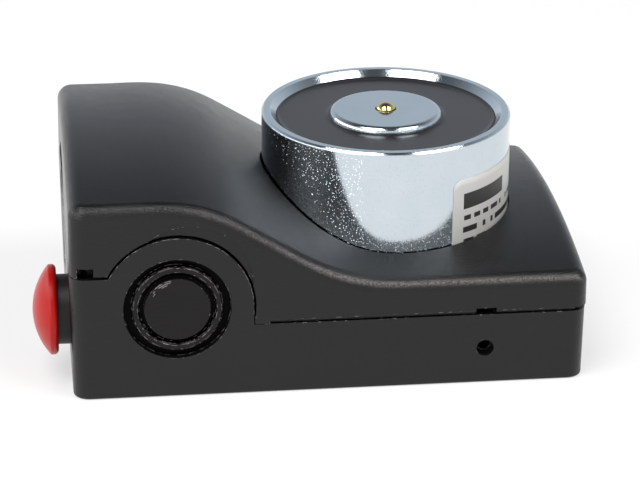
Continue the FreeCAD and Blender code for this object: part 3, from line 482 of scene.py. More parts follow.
# %% Bright zinc plating
crystal_mm = 0.13
tilted_from = 0.935           # cells above this random number are tilted
middle = (0.5, 0.5, 0.5)      # of the random colours, from which a crystal leans either way
side_tilt = 0.03
rise_tilt = 0.44              # away from the holder's wall side, which shows on the pot's side only
zinc_cloud_mm = 8
zinc_rough = (0.09, 0.14)
zinc_edge_ease = 0.35 * MM
zinc_blue = colour("#c1cdd6")
zinc_warm = colour("#d3dade")

zinc, tree, shader, where = new_material("bright_zinc_plating", Metallic=1.0)
cloud = add_node(tree, "ShaderNodeTexNoise",
                 {"Vector": where, "Scale": 1 / (zinc_cloud_mm * MM), "Detail": 3.0})
rough = add_node(tree, "ShaderNodeMapRange", {0: cloud, 3: zinc_rough[0], 4: zinc_rough[1]})
crystals = add_node(tree, "ShaderNodeTexVoronoi", {"Vector": where, "Scale": 1 / (crystal_mm * MM)})
pick = add_node(tree, "ShaderNodeSeparateColor", {0: crystals.outputs["Color"]})
lean = add_node(tree, "ShaderNodeVectorMath", {0: crystals.outputs["Color"], 1: middle},
                operation="SUBTRACT")
spread = add_node(tree, "ShaderNodeVectorMath", {0: lean, "Scale": side_tilt}, operation="SCALE")
rise = add_node(tree, "ShaderNodeMath", {0: band(tree, pick.outputs[0], low=tilted_from, share=rise_tilt),
                                         1: pick.outputs[1]}, operation="MULTIPLY")
upward = add_node(tree, "ShaderNodeCombineXYZ", {2: rise})
push = add_node(tree, "ShaderNodeVectorMath", {0: spread, 1: upward}, operation="ADD")
eased = add_node(tree, "ShaderNodeBevel", {"Radius": zinc_edge_ease}, samples=4)
bent = add_node(tree, "ShaderNodeVectorMath", {0: eased, 1: push}, operation="ADD")
level = add_node(tree, "ShaderNodeVectorMath", {0: bent}, operation="NORMALIZE")
feed(shader, Base_Color=layered(tree, zinc_blue, (cloud, zinc_warm)), Roughness=rough, Normal=level)
for node in ("magnet_pot", "pole_core", "lock_washer", "terminal_clamps"):
    dress(node, zinc)
print("steel dressed")

# %% [markdown]
# Round pieces come from a lathe, and a mesh can be made in the same way: a closed profile of radius and
# height is spun round an upright axis. One helper does it for the two rings below, the resin and the
# core of the coil.

# %% Turned pieces
turn_steps = 128


def turned(name, profile):
    """A ring spun round the Z axis from a closed profile of (radius, height) corners in metres."""
    shape = bmesh.new()
    turns = [2 * math.pi * i / turn_steps for i in range(turn_steps)]
    rings = [[shape.verts.new((radius * math.cos(a), radius * math.sin(a), height)) for a in turns]
             for radius, height in profile]
    for low, high in zip(rings, rings[1:] + rings[:1]):
        for i in range(turn_steps):
            j = (i + 1) % turn_steps
            shape.faces.new((low[i], low[j], high[j], high[i]))
    bmesh.ops.recalc_face_normals(shape, faces=shape.faces)
    for flat in shape.faces:
        flat.smooth = True
    return new_object(name, kept_mesh(shape, name))


print("a lathe with", turn_steps, "steps")

# %% [markdown]
# Between pot and pole lies cast epoxy resin. It was poured in as a liquid, so it climbs the steel on both
# sides in a small meniscus, and it has set with a smooth but not perfect gloss. The measured ring is
# flat, so a turned one takes its place. Its colour is a brown black that pigment gives to clear resin.

# %% Cast epoxy with its meniscus
resin_low, resin_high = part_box("potting_ring")
resin_outer = resin_high.x
resin_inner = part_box("pole_core")[1].x + 0.02 * MM   # a hair outside the pole
climb = 0.25 * MM             # of the resin on the steel
climb_reach = 1.3 * MM
meniscus_steps = 6
meniscus_curve = 2.5          # how much steeper the meniscus gets towards the steel
resin_cloud_mm = 7
resin_skin_mm = 0.5
resin_skin_depth = 0.04 * MM
resin_rough = (0.17, 0.25)


def climb_at(share):
    """Height of the meniscus at a share of its reach from the steel."""
    return climb * (1 - share) ** meniscus_curve


shares = [i / meniscus_steps for i in range(meniscus_steps + 1)]
surface = [(resin_inner + climb_reach * s, resin_high.z + climb_at(s)) for s in shares]
surface += [(resin_outer - climb_reach * s, resin_high.z + climb_at(s)) for s in reversed(shares)]
resin = turned("cast_resin_ring", [(resin_outer, resin_low.z), (resin_inner, resin_low.z)] + surface)

epoxy, tree, shader, where = new_material("dark_cast_epoxy", IOR=1.55, Specular_IOR_Level=0.28)
cloud = add_node(tree, "ShaderNodeTexNoise",
                 {"Vector": where, "Scale": 1 / (resin_cloud_mm * MM), "Detail": 3.0})
tone = layered(tree, colour("#201e20"), (cloud, colour("#292729")))
rough = add_node(tree, "ShaderNodeMapRange", {0: cloud, 3: resin_rough[0], 4: resin_rough[1]})
skin = add_node(tree, "ShaderNodeTexNoise",
                {"Vector": where, "Scale": 1 / (resin_skin_mm * MM), "Detail": 2.0})
bump = add_node(tree, "ShaderNodeBump", {"Strength": 0.12, "Distance": resin_skin_depth, "Height": skin})
feed(shader, Base_Color=tone, Roughness=rough, Normal=bump)
seat(resin, "potting_ring", epoxy)
print("resin ring of", len(resin.data.polygons), "faces")

# %% [markdown]
# The ejector pin is turned brass with a polished dome. Brass left bare goes slightly brown in its turning
# marks, which run round the pin, so rings by distance from the axis give its tint and its bump.

# %% Turned brass pin
ring_mm = 0.12
ring_depth = 0.01 * MM
brass_rough = (0.12, 0.20)
brass, tree, shader, where = new_material("turned_brass", Metallic=1.0)
reach = axis_distance(tree, where, (0, 0, 0), (1, 1, 0))
marks = add_node(tree, "ShaderNodeTexNoise", {"W": reach, "Scale": 1 / (ring_mm * MM), "Detail": 2.0},
                 noise_dimensions="1D")
rough = add_node(tree, "ShaderNodeMapRange", {0: marks, 3: brass_rough[0], 4: brass_rough[1]})
bump = add_node(tree, "ShaderNodeBump", {"Strength": 0.15, "Distance": ring_depth, "Height": marks})
feed(shader, Base_Color=layered(tree, colour("#d3b470"), (marks, colour("#eedca6"))),
     Roughness=rough, Normal=bump)
dress("ejector_pin", brass)
print("pin dressed")

# %% [markdown]
# The label is a white polyester film, 0.12 mm thick, stuck round the side of the pot. Its mesh is bent
# from a flat strip with rounded corners: columns along the film, rows up it, once for the face and once
# for the glued side. Print follows the film and not the room, so the mesh gets a UV map in which one
# unit is one millimetre.

# %% The label's mesh
label_low, label_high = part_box("magnet_label")
film_inner = 25.0 * MM
film_outer = film_inner + 0.12 * MM
film_length = 50.0 * MM
film_start = math.radians(-65.5)
film_corner = 2.0 * MM
film_height = label_high.z - label_low.z
film_columns = 80
film_rows = 12
corner_steps = 8
flat_up = 0.9                 # upward part of the normal from which a face is the film's cut edge


def corner_drop(along_film):
    """How far the rounded corners cut into the film's height at a length along it."""
    inside = min(along_film, film_length - along_film)
    if inside >= film_corner:
        return 0.0
    return film_corner - math.sqrt(film_corner ** 2 - (film_corner - inside) ** 2)


corner_turns = [math.pi / 2 * i / corner_steps for i in range(corner_steps)]
corner_columns = [film_corner * (1 - math.cos(turn)) for turn in corner_turns]
straight = film_length - 2 * film_corner
middle_columns = [film_corner + straight * i / film_columns for i in range(film_columns + 1)]
columns = corner_columns + middle_columns + [film_length - u for u in reversed(corner_columns)]
film = bmesh.new()
uv = film.loops.layers.uv.new("film_mm")
spots = {}
for side, radius in enumerate((film_outer, film_inner)):
    for i, u in enumerate(columns):
        angle = film_start + u / film_inner
        drop = corner_drop(u)
        for j in range(film_rows + 1):
            v = drop + (film_height - 2 * drop) * j / film_rows
            vert = film.verts.new((radius * math.cos(angle), radius * math.sin(angle), label_low.z + v))
            spots[side, i, j] = (vert, (u / MM, v / MM))


def film_face(*keys):
    """One face between corners of the film, with their places on the flat strip as its map."""
    made = film.faces.new([spots[key][0] for key in keys])
    for loop, key in zip(made.loops, keys):
        loop[uv].uv = spots[key][1]


last = len(columns) - 1
for i in range(last):
    for j in range(film_rows):
        film_face((0, i, j), (0, i + 1, j), (0, i + 1, j + 1), (0, i, j + 1))
        film_face((1, i, j), (1, i, j + 1), (1, i + 1, j + 1), (1, i + 1, j))
    film_face((0, i, 0), (1, i, 0), (1, i + 1, 0), (0, i + 1, 0))
    film_face((0, i, film_rows), (0, i + 1, film_rows), (1, i + 1, film_rows), (1, i, film_rows))
for j in range(film_rows):
    film_face((0, 0, j), (0, 0, j + 1), (1, 0, j + 1), (1, 0, j))
    film_face((0, last, j), (1, last, j), (1, last, j + 1), (0, last, j + 1))
film.normal_update()
for flat in film.faces:
    flat.smooth = abs(flat.normal.z) < flat_up
label = new_object("film_label", kept_mesh(film, "film_label"))
print("label of", len(label.data.polygons), "faces")

# %% [markdown]
# The label is printed with plain fields: a bold bar, a block and three rows that are broken at random,
# like words seen from far away. Each field is a box in the film's own map, in millimetres. Screen ink is
# a soft black, and the film has the dull gloss of polyester.

# %% White film with plain bars
ink = colour("#262424")
film_white = colour("#d3d2cf")
bold_bar = (2.5, 15.9, 9.6, 12.9)    # left, right, bottom and top
text_rows = ((2.5, 34.0, 7.2, 8.2), (2.5, 38.0, 4.6, 5.8), (2.5, 30.0, 2.0, 3.2))
side_field = (39.5, 46.5, 4.8, 12.9)
word_mm = 0.9
word_gaps = 0.22              # share of those pieces that stay blank
film_skin_mm = 0.6
film_skin_depth = 0.02 * MM

white_film, tree, shader, where = new_material("white_polyester_film", IOR=1.5, Roughness=0.42)
flat_map = add_node(tree, "ShaderNodeUVMap", uv_map="film_mm")
place = add_node(tree, "ShaderNodeSeparateXYZ", {0: flat_map}).outputs
step = add_node(tree, "ShaderNodeMath", {0: place["X"], 1: word_mm}, operation="SNAP")


def bar(left, right, bottom, top, share=1.0):
    """The share inside a box of the film, zero outside it."""
    return band(tree, place["X"], left, right, band(tree, place["Y"], bottom, top, share))


fields = [bar(*bold_bar), bar(*side_field)]
for row in text_rows:
    key = add_node(tree, "ShaderNodeCombineXYZ", {0: step, 1: row[2]})
    chance = add_node(tree, "ShaderNodeTexWhiteNoise", {"Vector": key}, noise_dimensions="2D")
    fields.append(bar(*row, share=band(tree, chance.outputs["Value"], low=word_gaps)))
skin = add_node(tree, "ShaderNodeTexNoise",
                {"Vector": where, "Scale": 1 / (film_skin_mm * MM), "Detail": 2.0})
bump = add_node(tree, "ShaderNodeBump", {"Strength": 0.1, "Distance": film_skin_depth, "Height": skin})
feed(shader, Base_Color=layered(tree, film_white, (largest(tree, *fields), ink)), Normal=bump)
seat(label, "magnet_label", white_film)
print("label printed with", len(fields), "fields")

# %% [markdown]
# The button's cap is red ABS from a polished tool, so it is glossy, with the faint waviness that
# cooling plastic always has. Its plunger is black acetal, a slippery plastic with a waxy, satin skin.

# %% Red cap and black plunger
plastic_cloud_mm = 6
plastic_relief = 0.05 * MM


def moulded(name, light, dark, rough_low, rough_high, wave_mm, wave, specular=0.5):
    """A moulded plastic: two close tones, an uneven gloss, and the size and strength of its relief."""
    made, tree, shader, where = new_material(name, IOR=1.5, Specular_IOR_Level=specular)
    cloud = add_node(tree, "ShaderNodeTexNoise",
                     {"Vector": where, "Scale": 1 / (plastic_cloud_mm * MM), "Detail": 3.0})
    rough = add_node(tree, "ShaderNodeMapRange", {0: cloud, 3: rough_low, 4: rough_high})
    relief = add_node(tree, "ShaderNodeTexNoise",
                      {"Vector": where, "Scale": 1 / (wave_mm * MM), "Detail": 2.0})
    bump = add_node(tree, "ShaderNodeBump", {"Strength": wave, "Distance": plastic_relief, "Height": relief})
    feed(shader, Base_Color=layered(tree, colour(light), (cloud, colour(dark))),
         Roughness=rough, Normal=bump)
    return made


dress("button_cap", moulded("red_abs_polished", "#a50a05", "#b01009", 0.26, 0.34, 1.6, 0.12, specular=0.27))
dress("button_plunger", moulded("black_acetal", "#151110", "#1c1715", 0.42, 0.52, 0.4, 0.15, specular=0.35))
print("button dressed")

# %% [markdown]
# The plastics inside are chosen for heat and for insulation, and nobody paints them. The bobbin is
# natural nylon, straw-coloured and cloudy from its glass fibres. The switch is a pale grey thermoset,
# and the terminal block is polyamide in the usual green.

# %% Plastics inside the housing
dress("coil_bobbin", moulded("natural_glass_filled_nylon", "#cfc6ad", "#bdb396", 0.45, 0.6, 0.35, 0.35))
dress("switch_body", moulded("grey_thermoset", "#b7b2a8", "#a59f94", 0.4, 0.55, 0.5, 0.25))
dress("switch_end_cap", moulded("grey_thermoset_lid", "#bcb7ad", "#aba599", 0.4, 0.55, 0.5, 0.25))
dress("terminal_block", moulded("green_polyamide", "#2f6b43", "#275c39", 0.38, 0.5, 0.5, 0.2))
print("inner plastics dressed")

# %% [markdown]
# Many inner pieces are one wire laid in turns: the coil, the springs and the ridge of a thread. Geometry
# nodes suit them, because one group with named inputs makes them all. It draws a spiral, can crowd its
# turns at both ends as a spring maker does, gives the line a round or pointed section and sets a copy on
# each point that it is given. The result is then kept as a plain mesh.

# %% A group that winds wire
sharp_turn = math.radians(38)


def new_group(name, materials=("Material",), **numbers):
    """A geometry node group with named inputs, which takes and gives geometry."""
    tree = bpy.data.node_groups.new(name, "GeometryNodeTree")
    tree.interface.new_socket("Geometry", in_out="OUTPUT", socket_type="NodeSocketGeometry")
    tree.interface.new_socket("Geometry", in_out="INPUT", socket_type="NodeSocketGeometry")
    for label, value in numbers.items():
        kind = "NodeSocketInt" if isinstance(value, int) else "NodeSocketFloat"
        socket = tree.interface.new_socket(label.replace("_", " "), in_out="INPUT", socket_type=kind)
        socket.default_value = value
    for label in materials:
        tree.interface.new_socket(label, in_out="INPUT", socket_type="NodeSocketMaterial")
    return tree, add_node(tree, "NodeGroupInput").outputs


def grow(name, tree, points, edges=(), bends=None, place=None, **values):
    """Runs a group on points in millimetres and keeps the plain mesh that comes out."""
    seed = bpy.data.meshes.new(name + "_points")
    seed.from_pydata([Vector(point) * MM for point in points], edges, [])
    if bends:
        seed.attributes.new("bend", "FLOAT", "POINT").data.foreach_set("value", [b * MM for b in bends])
    maker = new_object(name + "_maker", seed)
    modifier = maker.modifiers.new("grow", "NODES")
    modifier.node_group = tree
    sockets = {item.name: item.identifier for item in tree.interface.items_tree if item.in_out == "INPUT"}
    for label, value in values.items():
        modifier[sockets[label.replace("_", " ")]] = value
    now = bpy.context.evaluated_depsgraph_get()
    mesh = bpy.data.meshes.new_from_object(maker.evaluated_get(now))
    bpy.data.objects.remove(maker)
    used = [material for material in mesh.materials if material]
    for flat in mesh.polygons:
        flat.material_index = used.index(mesh.materials[flat.material_index])
    mesh.materials.clear()
    for material in used:
        mesh.materials.append(material)
    if place:
        mesh.transform(place)
    mesh.shade_smooth()
    mesh.set_sharp_from_angle(angle=sharp_turn)
    return new_object(name, mesh)


wound, given = new_group("wound_wire", Turns=1.0, Radius=0.01, Height=0.01, Wire_Radius=0.001,
                         Closed_Ends=0.0, Steps=48, Sides=8)
spiral = add_node(wound, "GeometryNodeCurveSpiral", {
    "Resolution": given["Steps"], "Rotations": given["Turns"], "Start Radius": given["Radius"],
    "End Radius": given["Radius"], "Height": given["Height"]})
along = add_node(wound, "GeometryNodeSplineParameter").outputs["Factor"]
crowded = add_node(wound, "ShaderNodeMapRange", {0: along}, interpolation_type="SMOOTHSTEP")
climb_share = add_node(wound, "ShaderNodeMix", {0: given["Closed Ends"], 2: along, 3: crowded})
level = add_node(wound, "ShaderNodeMath", {0: climb_share, 1: given["Height"]}, operation="MULTIPLY")
spot = add_node(wound, "GeometryNodeInputPosition")
flat = add_node(wound, "ShaderNodeSeparateXYZ", {0: spot}).outputs
raised = add_node(wound, "ShaderNodeCombineXYZ", {0: flat["X"], 1: flat["Y"], 2: level})
moved = add_node(wound, "GeometryNodeSetPosition", {"Geometry": spiral, "Position": raised})
upright = add_node(wound, "GeometryNodeSetCurveNormal", {"Curve": moved}, mode="Z_UP")
section = add_node(wound, "GeometryNodeCurvePrimitiveCircle", {"Resolution": given["Sides"],
                                                               "Radius": given["Wire Radius"]})
wire = add_node(wound, "GeometryNodeCurveToMesh", {"Curve": upright,
                                                   "Profile Curve": section, "Fill Caps": True})
copies = add_node(wound, "GeometryNodeInstanceOnPoints", {"Points": given["Geometry"], "Instance": wire})
real = add_node(wound, "GeometryNodeRealizeInstances", {0: copies})
painted = add_node(wound, "GeometryNodeSetMaterial", {"Geometry": real, "Material": given["Material"]})
add_node(wound, "NodeGroupOutput", {0: painted})
print("winding group with", len(wound.nodes), "nodes")

# %% [markdown]
# Metals differ by colour, by how rough their last working step left them and by its marks: a drawn wire
# has fine lines, a stamped strip a rolled grain and a solder joint a smooth skin. So one function makes
# a metal from two tones, its roughness and the size of its marks.

# %% Metals inside
metal_cloud_mm = 3
metal_edge_ease = 0.08 * MM
mark_depth = 0.02 * MM


def metal(name, dark, light, rough_low, rough_high, mark_mm=0.3, relief=0.15):
    """A bare or plated metal: two close tones, uneven roughness and the marks of its working."""
    made, tree, shader, where = new_material(name, Metallic=1.0)
    marks = add_node(tree, "ShaderNodeTexNoise",
                     {"Vector": where, "Scale": 1 / (mark_mm * MM), "Detail": 3.0})
    cloud = add_node(tree, "ShaderNodeTexNoise",
                     {"Vector": where, "Scale": 1 / (metal_cloud_mm * MM), "Detail": 2.0})
    rough = add_node(tree, "ShaderNodeMapRange", {0: marks, 3: rough_low, 4: rough_high})
    eased = add_node(tree, "ShaderNodeBevel", {"Radius": metal_edge_ease}, samples=4)
    bump = add_node(tree, "ShaderNodeBump", {"Strength": relief, "Distance": mark_depth, "Height": marks,
                                             "Normal": eased})
    feed(shader, Base_Color=layered(tree, colour(dark), (cloud, colour(light))),
         Roughness=rough, Normal=bump)
    return made


copper = metal("enamelled_copper_wire", "#8e3d17", "#a9582a", 0.18, 0.26, relief=0.1)
spring_steel = metal("drawn_spring_steel", "#8a8a88", "#a2a19d", 0.20, 0.32)
black_steel = metal("blackened_steel", "#242322", "#34322f", 0.35, 0.48)
screw_zinc = metal("zinc_plated_screw_steel", "#b4c0c6", "#c6cdd0", 0.16, 0.26)
strip_brass = metal("rolled_contact_brass", "#b58a3f", "#cfa75c", 0.22, 0.36, mark_mm=0.15)
tinned = metal("tinned_copper_and_solder", "#b3b5b4", "#c6c7c4", 0.16, 0.28)
dress("stem_clip", spring_steel)
dress("contact_bridge", strip_brass)
dress("switch_contacts", strip_brass)
print("metals made")

# %% [markdown]
# The coil is several hundred turns of enamelled copper wire on its bobbin. Only the outermost layer can
# be seen, so the layers below are one turned core, and one helix of wire lies on it. The real wire is
# about 0.3 mm thick. Here it is drawn at 0.4 mm, as 43 turns that touch each other.

# %% Coil winding
coil_low, coil_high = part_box("coil_winding")
wire_radius = 0.2
wire_turns = 43
core_sink = 1.8               # wire radii from the outside of the wire in to the core below it
bobbin_tube = 12.55
core_outer = coil_high.x / MM - core_sink * wire_radius
core = turned("coil_core", [(bobbin_tube * MM, coil_low.z), (core_outer * MM, coil_low.z),
                            (core_outer * MM, coil_high.z), (bobbin_tube * MM, coil_high.z)])
turns = grow("coil_turns", wound, [(0, 0, coil_low.z / MM + wire_radius)], Turns=wire_turns - 1.0,
             Radius=coil_high.x - wire_radius * MM, Height=coil_high.z - coil_low.z - 2 * wire_radius * MM,
             Wire_Radius=wire_radius * MM, Steps=72, Sides=6, Material=copper)


def joined(name, *parts):
    """One plain mesh from several objects of one material, which it takes the place of."""
    shape = bmesh.new()
    for part in parts:
        shape.from_mesh(part.data)
        bpy.data.objects.remove(part)
    for flat in shape.faces:
        flat.material_index = 0
    mesh = kept_mesh(shape, name)
    mesh.set_sharp_from_angle(angle=sharp_turn)
    return new_object(name, mesh)


winding = seat(joined("copper_winding", core, turns), "coil_winding", copper)
print("winding of", len(winding.data.polygons), "faces")

# %% [markdown]
# Both springs are cold-wound from drawn steel wire with closed ends, so that they stand straight, and
# each gets a mesh of its own. The button's spring lies on its side, so it is wound upright and turned
# about Y.

# %% Springs
pin_low, pin_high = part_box("ejector_spring")
pin_wire = 0.25
pin_spring = grow("wound_pin_spring", wound, [(0, 0, pin_low.z / MM + pin_wire)], Turns=4.5, Radius=2.3 * MM,
                  Height=pin_high.z - pin_low.z - 2 * pin_wire * MM, Wire_Radius=pin_wire * MM,
                  Closed_Ends=1.0, Steps=48, Sides=10, Material=spring_steel)
seat(pin_spring, "ejector_spring")
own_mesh(pin_spring)

stem_low, stem_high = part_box("button_spring")
stem_axis = Vector((0, (stem_low.y + stem_high.y) / 2, (stem_low.z + stem_high.z) / 2))
stem_wire = 0.3
stem_length = (stem_high.x - stem_low.x) / MM
laid_down = Matrix.Translation((stem_low.x, stem_axis.y, stem_axis.z)) @ Matrix.Rotation(math.pi / 2, 4, "Y")
stem_spring = grow("wound_stem_spring", wound, [(0, 0, stem_wire)], place=laid_down, Turns=3.5,
                   Radius=5.2 * MM, Height=(stem_length - 2 * stem_wire) * MM, Wire_Radius=stem_wire * MM,
                   Closed_Ends=1.0, Steps=64, Sides=10, Material=spring_steel)
seat(stem_spring, "button_spring")
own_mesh(stem_spring)
print("springs of", len(pin_spring.data.polygons), "and", len(stem_spring.data.polygons), "faces")

# %% [markdown]
# A thread is one ridge that winds up the shank. The measured screws have plain shanks as thick as the
# ridge's crest. A copy of each mesh is merged where its faces meet, its shank is drawn in to the root of
# the thread, and a ridge of pointed section is wound on it, at the real pitch of that kind of screw.

# %% Screws with threads
merge_gap = 0.002             # in millimetres, as the two margins below
crest_margin = 0.04
end_margin = 0.05


def threaded(name, node, centres, crest, root, pitch, low, high, material):
    """A copy of measured screws whose shanks carry a wound ridge. Sizes are in millimetres."""
    shape = bmesh.new()
    shape.from_mesh(frame["nodes"][node].data)
    bmesh.ops.remove_doubles(shape, verts=shape.verts, dist=merge_gap * MM)
    for vert in shape.verts:
        for x, y in centres:
            away = Vector((vert.co.x / MM - x, vert.co.y / MM - y))
            on_shank = low - end_margin < vert.co.z / MM < high + end_margin
            if on_shank and abs(away.length - crest) < crest_margin:
                away *= root / crest
                vert.co.x, vert.co.y = (x + away.x) * MM, (y + away.y) * MM
    bmesh.ops.recalc_face_normals(shape, faces=shape.faces)
    mesh = kept_mesh(shape, name + "_shank")
    if "custom_normal" in mesh.attributes:
        mesh.attributes.remove(mesh.attributes["custom_normal"])
    mesh.shade_smooth()
    shank = new_object(name + "_shank", mesh)
    start = low + pitch / 2
    run = high - low - pitch
    ridge = grow(name + "_ridge", wound, [(x, y, start) for x, y in centres], Turns=run / pitch,
                 Radius=root * MM, Height=run * MM, Wire_Radius=(crest - root) * MM, Steps=32, Sides=4,
                 Material=material)
    return seat(joined(name, shank, ridge), node, material)


board_spots = [(-58.5, -9.65), (-35.8, 29.89)]
terminal_spots = [(-39.0, 2.48), (-39.0, 7.56), (-39.0, 12.64), (-39.0, 17.72)]
# crest and root radius, pitch, and the heights between which the ridge winds
threaded("threaded_magnet_screw", "magnet_screw", [(0, 0)], 2.9, 2.45, 1.0, 8.6, 28.6, screw_zinc)
threaded("threaded_set_screw", "spring_set_screw", [(0, 0)], 2.9, 2.6, 0.75, 30.3, 33.3, black_steel)
threaded("threaded_board_screws", "board_screws", board_spots, 1.25, 0.95, 0.9, 3.6, 8.6, screw_zinc)
threaded("threaded_terminal_screws", "terminal_screws", terminal_spots, 1.3, 1.08, 0.5, 13.7, 16.6,
         screw_zinc)
print("screws threaded")

# %% [markdown]
# A lead is a tinned core in a PVC sleeve, stripped at both ends and soldered into the board. The sleeve
# follows a path of straight runs with rounded bends, each bend as round as the shorter run beside it
# lets it be. The group takes the path's points, rounds it, trims the sleeve, and sets a cone of solder
# on the last point of each lead.

# %% Leads with their solder
leads, given = new_group("lead_with_solder", ("Sleeve", "Metal"), Sleeve_Radius=0.001, Core_Radius=0.0004,
                         Bare_End=0.001, Solder_Radius=0.001, Solder_Height=0.001)
line = add_node(leads, "GeometryNodeMeshToCurve", {0: given["Geometry"]})
bend = add_node(leads, "GeometryNodeInputNamedAttribute", {"Name": "bend"}, data_type="FLOAT")
round_line = add_node(leads, "GeometryNodeFilletCurve", {"Curve": line, "Count": 8,
                                                         "Radius": bend}, mode="POLY")
whole = add_node(leads, "GeometryNodeSplineLength").outputs["Length"]
sleeve_end = add_node(leads, "ShaderNodeMath", {0: whole, 1: given["Bare End"]}, operation="SUBTRACT")
sleeve_line = add_node(leads, "GeometryNodeTrimCurve", {"Curve": round_line, 4: given["Bare End"],
                                                        5: sleeve_end}, mode="LENGTH")
sleeve_ring = add_node(leads, "GeometryNodeCurvePrimitiveCircle", {"Resolution": 16,
                                                                   "Radius": given["Sleeve Radius"]})
sleeve = add_node(leads, "GeometryNodeCurveToMesh", {"Curve": sleeve_line, "Fill Caps": True,
                                                     "Profile Curve": sleeve_ring})
core_ring = add_node(leads, "GeometryNodeCurvePrimitiveCircle", {"Resolution": 10,
                                                                 "Radius": given["Core Radius"]})
bare = add_node(leads, "GeometryNodeCurveToMesh", {"Curve": round_line, "Fill Caps": True,
                                                   "Profile Curve": core_ring})
cone = add_node(leads, "GeometryNodeMeshCone", {"Vertices": 16, "Side Segments": 3,
                                                "Radius Top": given["Core Radius"],
                                                "Radius Bottom": given["Solder Radius"],
                                                "Depth": given["Solder Height"]})
last_point = add_node(leads, "GeometryNodeCurveEndpointSelection", {0: 0, 1: 1})
joints = add_node(leads, "GeometryNodeInstanceOnPoints", {"Points": round_line,
                                                          "Selection": last_point,
                                                          "Instance": cone})
metal_parts = add_node(leads, "GeometryNodeJoinGeometry")
leads.links.new(bare.outputs[0], metal_parts.inputs[0])
leads.links.new(joints.outputs[0], metal_parts.inputs[0])
shiny = add_node(leads, "GeometryNodeSetMaterial", {"Geometry": metal_parts, "Material": given["Metal"]})
soft = add_node(leads, "GeometryNodeSetMaterial", {"Geometry": sleeve, "Material": given["Sleeve"]})
both = add_node(leads, "GeometryNodeJoinGeometry")
leads.links.new(shiny.outputs[0], both.inputs[0])
leads.links.new(soft.outputs[0], both.inputs[0])
solid = add_node(leads, "GeometryNodeRealizeInstances", {0: both})
add_node(leads, "NodeGroupOutput", {0: solid})

largest_bend = 6.0
bend_share = 0.45             # of the shorter run beside it


def lead_pair(name, node, paths, sleeve_material):
    """Two soldered leads from their corner points in millimetres."""
    points, edges, bends = [], [], []
    for path in paths:
        first = len(points)
        runs = [(Vector(b) - Vector(a)).length for a, b in zip(path, path[1:])]
        inner = [min(largest_bend, bend_share * min(pair)) for pair in zip(runs, runs[1:])]
        points += path
        bends += [0.0] + inner + [0.0]
        edges += [(first + i, first + i + 1) for i in range(len(path) - 1)]
    made = grow(name, leads, points, edges, bends=bends, Sleeve_Radius=0.7 * MM, Core_Radius=0.38 * MM,
                Bare_End=1.5 * MM, Solder_Radius=0.85 * MM, Solder_Height=0.9 * MM, Sleeve=sleeve_material,
                Metal=tinned)
    return seat(made, node)


red_pvc = moulded("red_pvc", "#9c1712", "#b0211a", 0.35, 0.48, 1.2, 0.15)
grey_pvc = moulded("grey_pvc", "#6f7173", "#7f8182", 0.35, 0.48, 1.2, 0.15)
lead_pair("soldered_coil_leads", "coil_leads", [
    [(-16.5, -4.5, 21.8), (-16.5, -4.5, 12.5), (-39.5, -4.5, 12.5), (-39.5, -4.5, 8.6)],
    [(-16.5, -1.9, 21.8), (-16.5, -1.9, 12.5), (-41.5, -1.9, 12.5), (-41.5, -1.9, 8.6)]], red_pvc)
lead_pair("soldered_switch_leads", "switch_leads", [
    [(-51.55, -17.6, 25.4), (-51.55, -17.6, 28.6), (-51.55, -8.65, 28.6), (-51.55, -8.65, 8.6)],
    [(-51.55, -27.6, 25.4), (-51.55, -27.6, 31.4), (-51.55, -6.75, 31.4), (-51.55, -6.75, 8.6)]], grey_pvc)
print("leads soldered")

# %% [markdown]
# The board is glass-fibre laminate under green solder mask. Copper tracks show through the mask as paler
# lines from pad to pad, the pads are tinned, and the sawn edge shows the straw colour of bare laminate.
# Everything is found by position, as on the printing film that such a board is made with.

# %% Circuit board
pads = [(-39.5, -4.5), (-41.5, -1.9), (-51.55, -8.65), (-51.55, -6.75), (-51.95, 23.61), (-42.35, 23.61)]
pad_radius = 0.9
tracks = [  # left, right, front and back, in millimetres as the pads
    (-40.1, -38.9, -4.5, 2.5), (-42.1, -40.9, -1.9, 7.6), (-52.1, -46.0, -9.2, -8.1),
    (-46.6, -45.4, -9.2, 12.6), (-52.1, -49.0, -7.3, -6.2), (-49.6, -48.4, -7.3, 17.7),
    (-52.5, -51.4, 17.2, 23.6), (-43.0, -41.8, 17.2, 23.6)]
weave_mm = 0.5
weave_share = 0.2             # of the relief, where a track stands up by the whole of it
track_height = 0.04 * MM
mask_rough, edge_rough = 0.28, 0.75
edge_slope = 0.5              # upward part of the normal below which a face is the sawn edge
board_material, tree, shader, where = new_material("green_masked_laminate", IOR=1.5)
place = add_node(tree, "ShaderNodeSeparateXYZ", {0: where}).outputs
tracked = largest(tree, *[
    band(tree, place["X"], x0 * MM, x1 * MM, band(tree, place["Y"], y0 * MM, y1 * MM))
    for x0, x1, y0, y1 in tracks])
padded = largest(tree, *[
    band(tree, axis_distance(tree, where, (x * MM, y * MM, 0), (1, 1, 0)), high=pad_radius * MM)
    for x, y in pads])
face = add_node(tree, "ShaderNodeNewGeometry")
facing = add_node(tree, "ShaderNodeSeparateXYZ", {0: face.outputs["Normal"]}).outputs["Z"]
steep = add_node(tree, "ShaderNodeMath", {0: facing}, operation="ABSOLUTE")
edge = band(tree, steep, high=edge_slope)
weave = add_node(tree, "ShaderNodeTexNoise", {"Vector": where, "Scale": 1 / (weave_mm * MM), "Detail": 3.0})
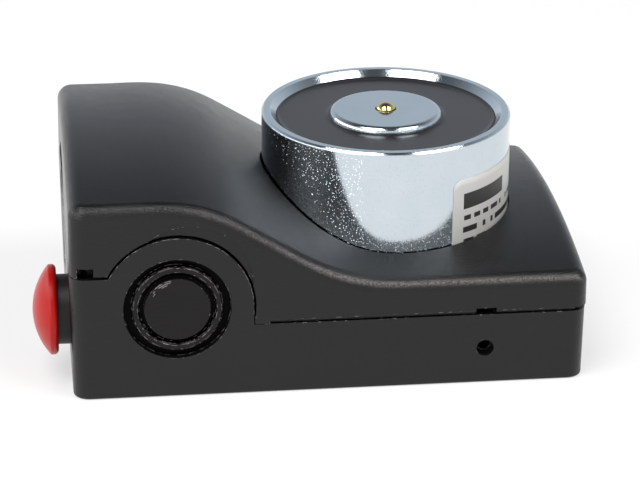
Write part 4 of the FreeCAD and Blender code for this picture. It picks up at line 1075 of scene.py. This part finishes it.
seen = layered(tree, colour("#174e2c"), (weave, colour("#1f5c36")), (tracked, colour("#3b8a55")),
               (padded, colour("#b9bab8")), (edge, colour("#a99a62")))
rough = add_node(tree, "ShaderNodeMix", {0: edge, 2: mask_rough, 3: edge_rough})
relief = add_node(tree, "ShaderNodeMath", {0: weave, 1: weave_share, 2: tracked}, operation="MULTIPLY_ADD")
bump = add_node(tree, "ShaderNodeBump", {"Strength": 0.4, "Distance": track_height, "Height": relief})
feed(shader, Base_Color=seen, Roughness=rough, Normal=bump)
dress("circuit_board", board_material)
print("board with", len(tracks), "tracks and", len(pads), "pads")

# %% [markdown]
# The diode is moulded in black epoxy with a silver ring round its cathode end, and its two wires are
# tinned copper. It is one measured piece, so its material tells body from wire by the place along X.

# %% Suppression diode
diode_x = -47.15
body_half = 2.62
ring_from, ring_to = 1.1, 1.8
diode_skin_mm = 0.3
diode_skin_depth = 0.02 * MM
diode_rough = (0.25, 0.42)
diode_material, tree, shader, where = new_material("diode_epoxy_and_tinned_wire", IOR=1.5)
place = add_node(tree, "ShaderNodeSeparateXYZ", {0: where}).outputs["X"]
body = band(tree, place, (diode_x - body_half) * MM, (diode_x + body_half) * MM)
ring = band(tree, place, (diode_x + ring_from) * MM, (diode_x + ring_to) * MM)
skin = add_node(tree, "ShaderNodeTexNoise",
                {"Vector": where, "Scale": 1 / (diode_skin_mm * MM), "Detail": 2.0})
case = layered(tree, colour("#191817"), (skin, colour("#232120")), (ring, colour("#bdbdba")))
bare_wire = add_node(tree, "ShaderNodeMath", {0: 1.0, 1: body}, operation="SUBTRACT")
rough = add_node(tree, "ShaderNodeMapRange", {0: skin, 3: diode_rough[0], 4: diode_rough[1]})
bump = add_node(tree, "ShaderNodeBump", {"Strength": 0.2, "Distance": diode_skin_depth, "Height": skin})
feed(shader, Base_Color=layered(tree, colour("#bcbdbb"), (body, case)), Metallic=bare_wire,
     Roughness=rough, Normal=bump)
dress("suppression_diode", diode_material)
print("diode dressed")
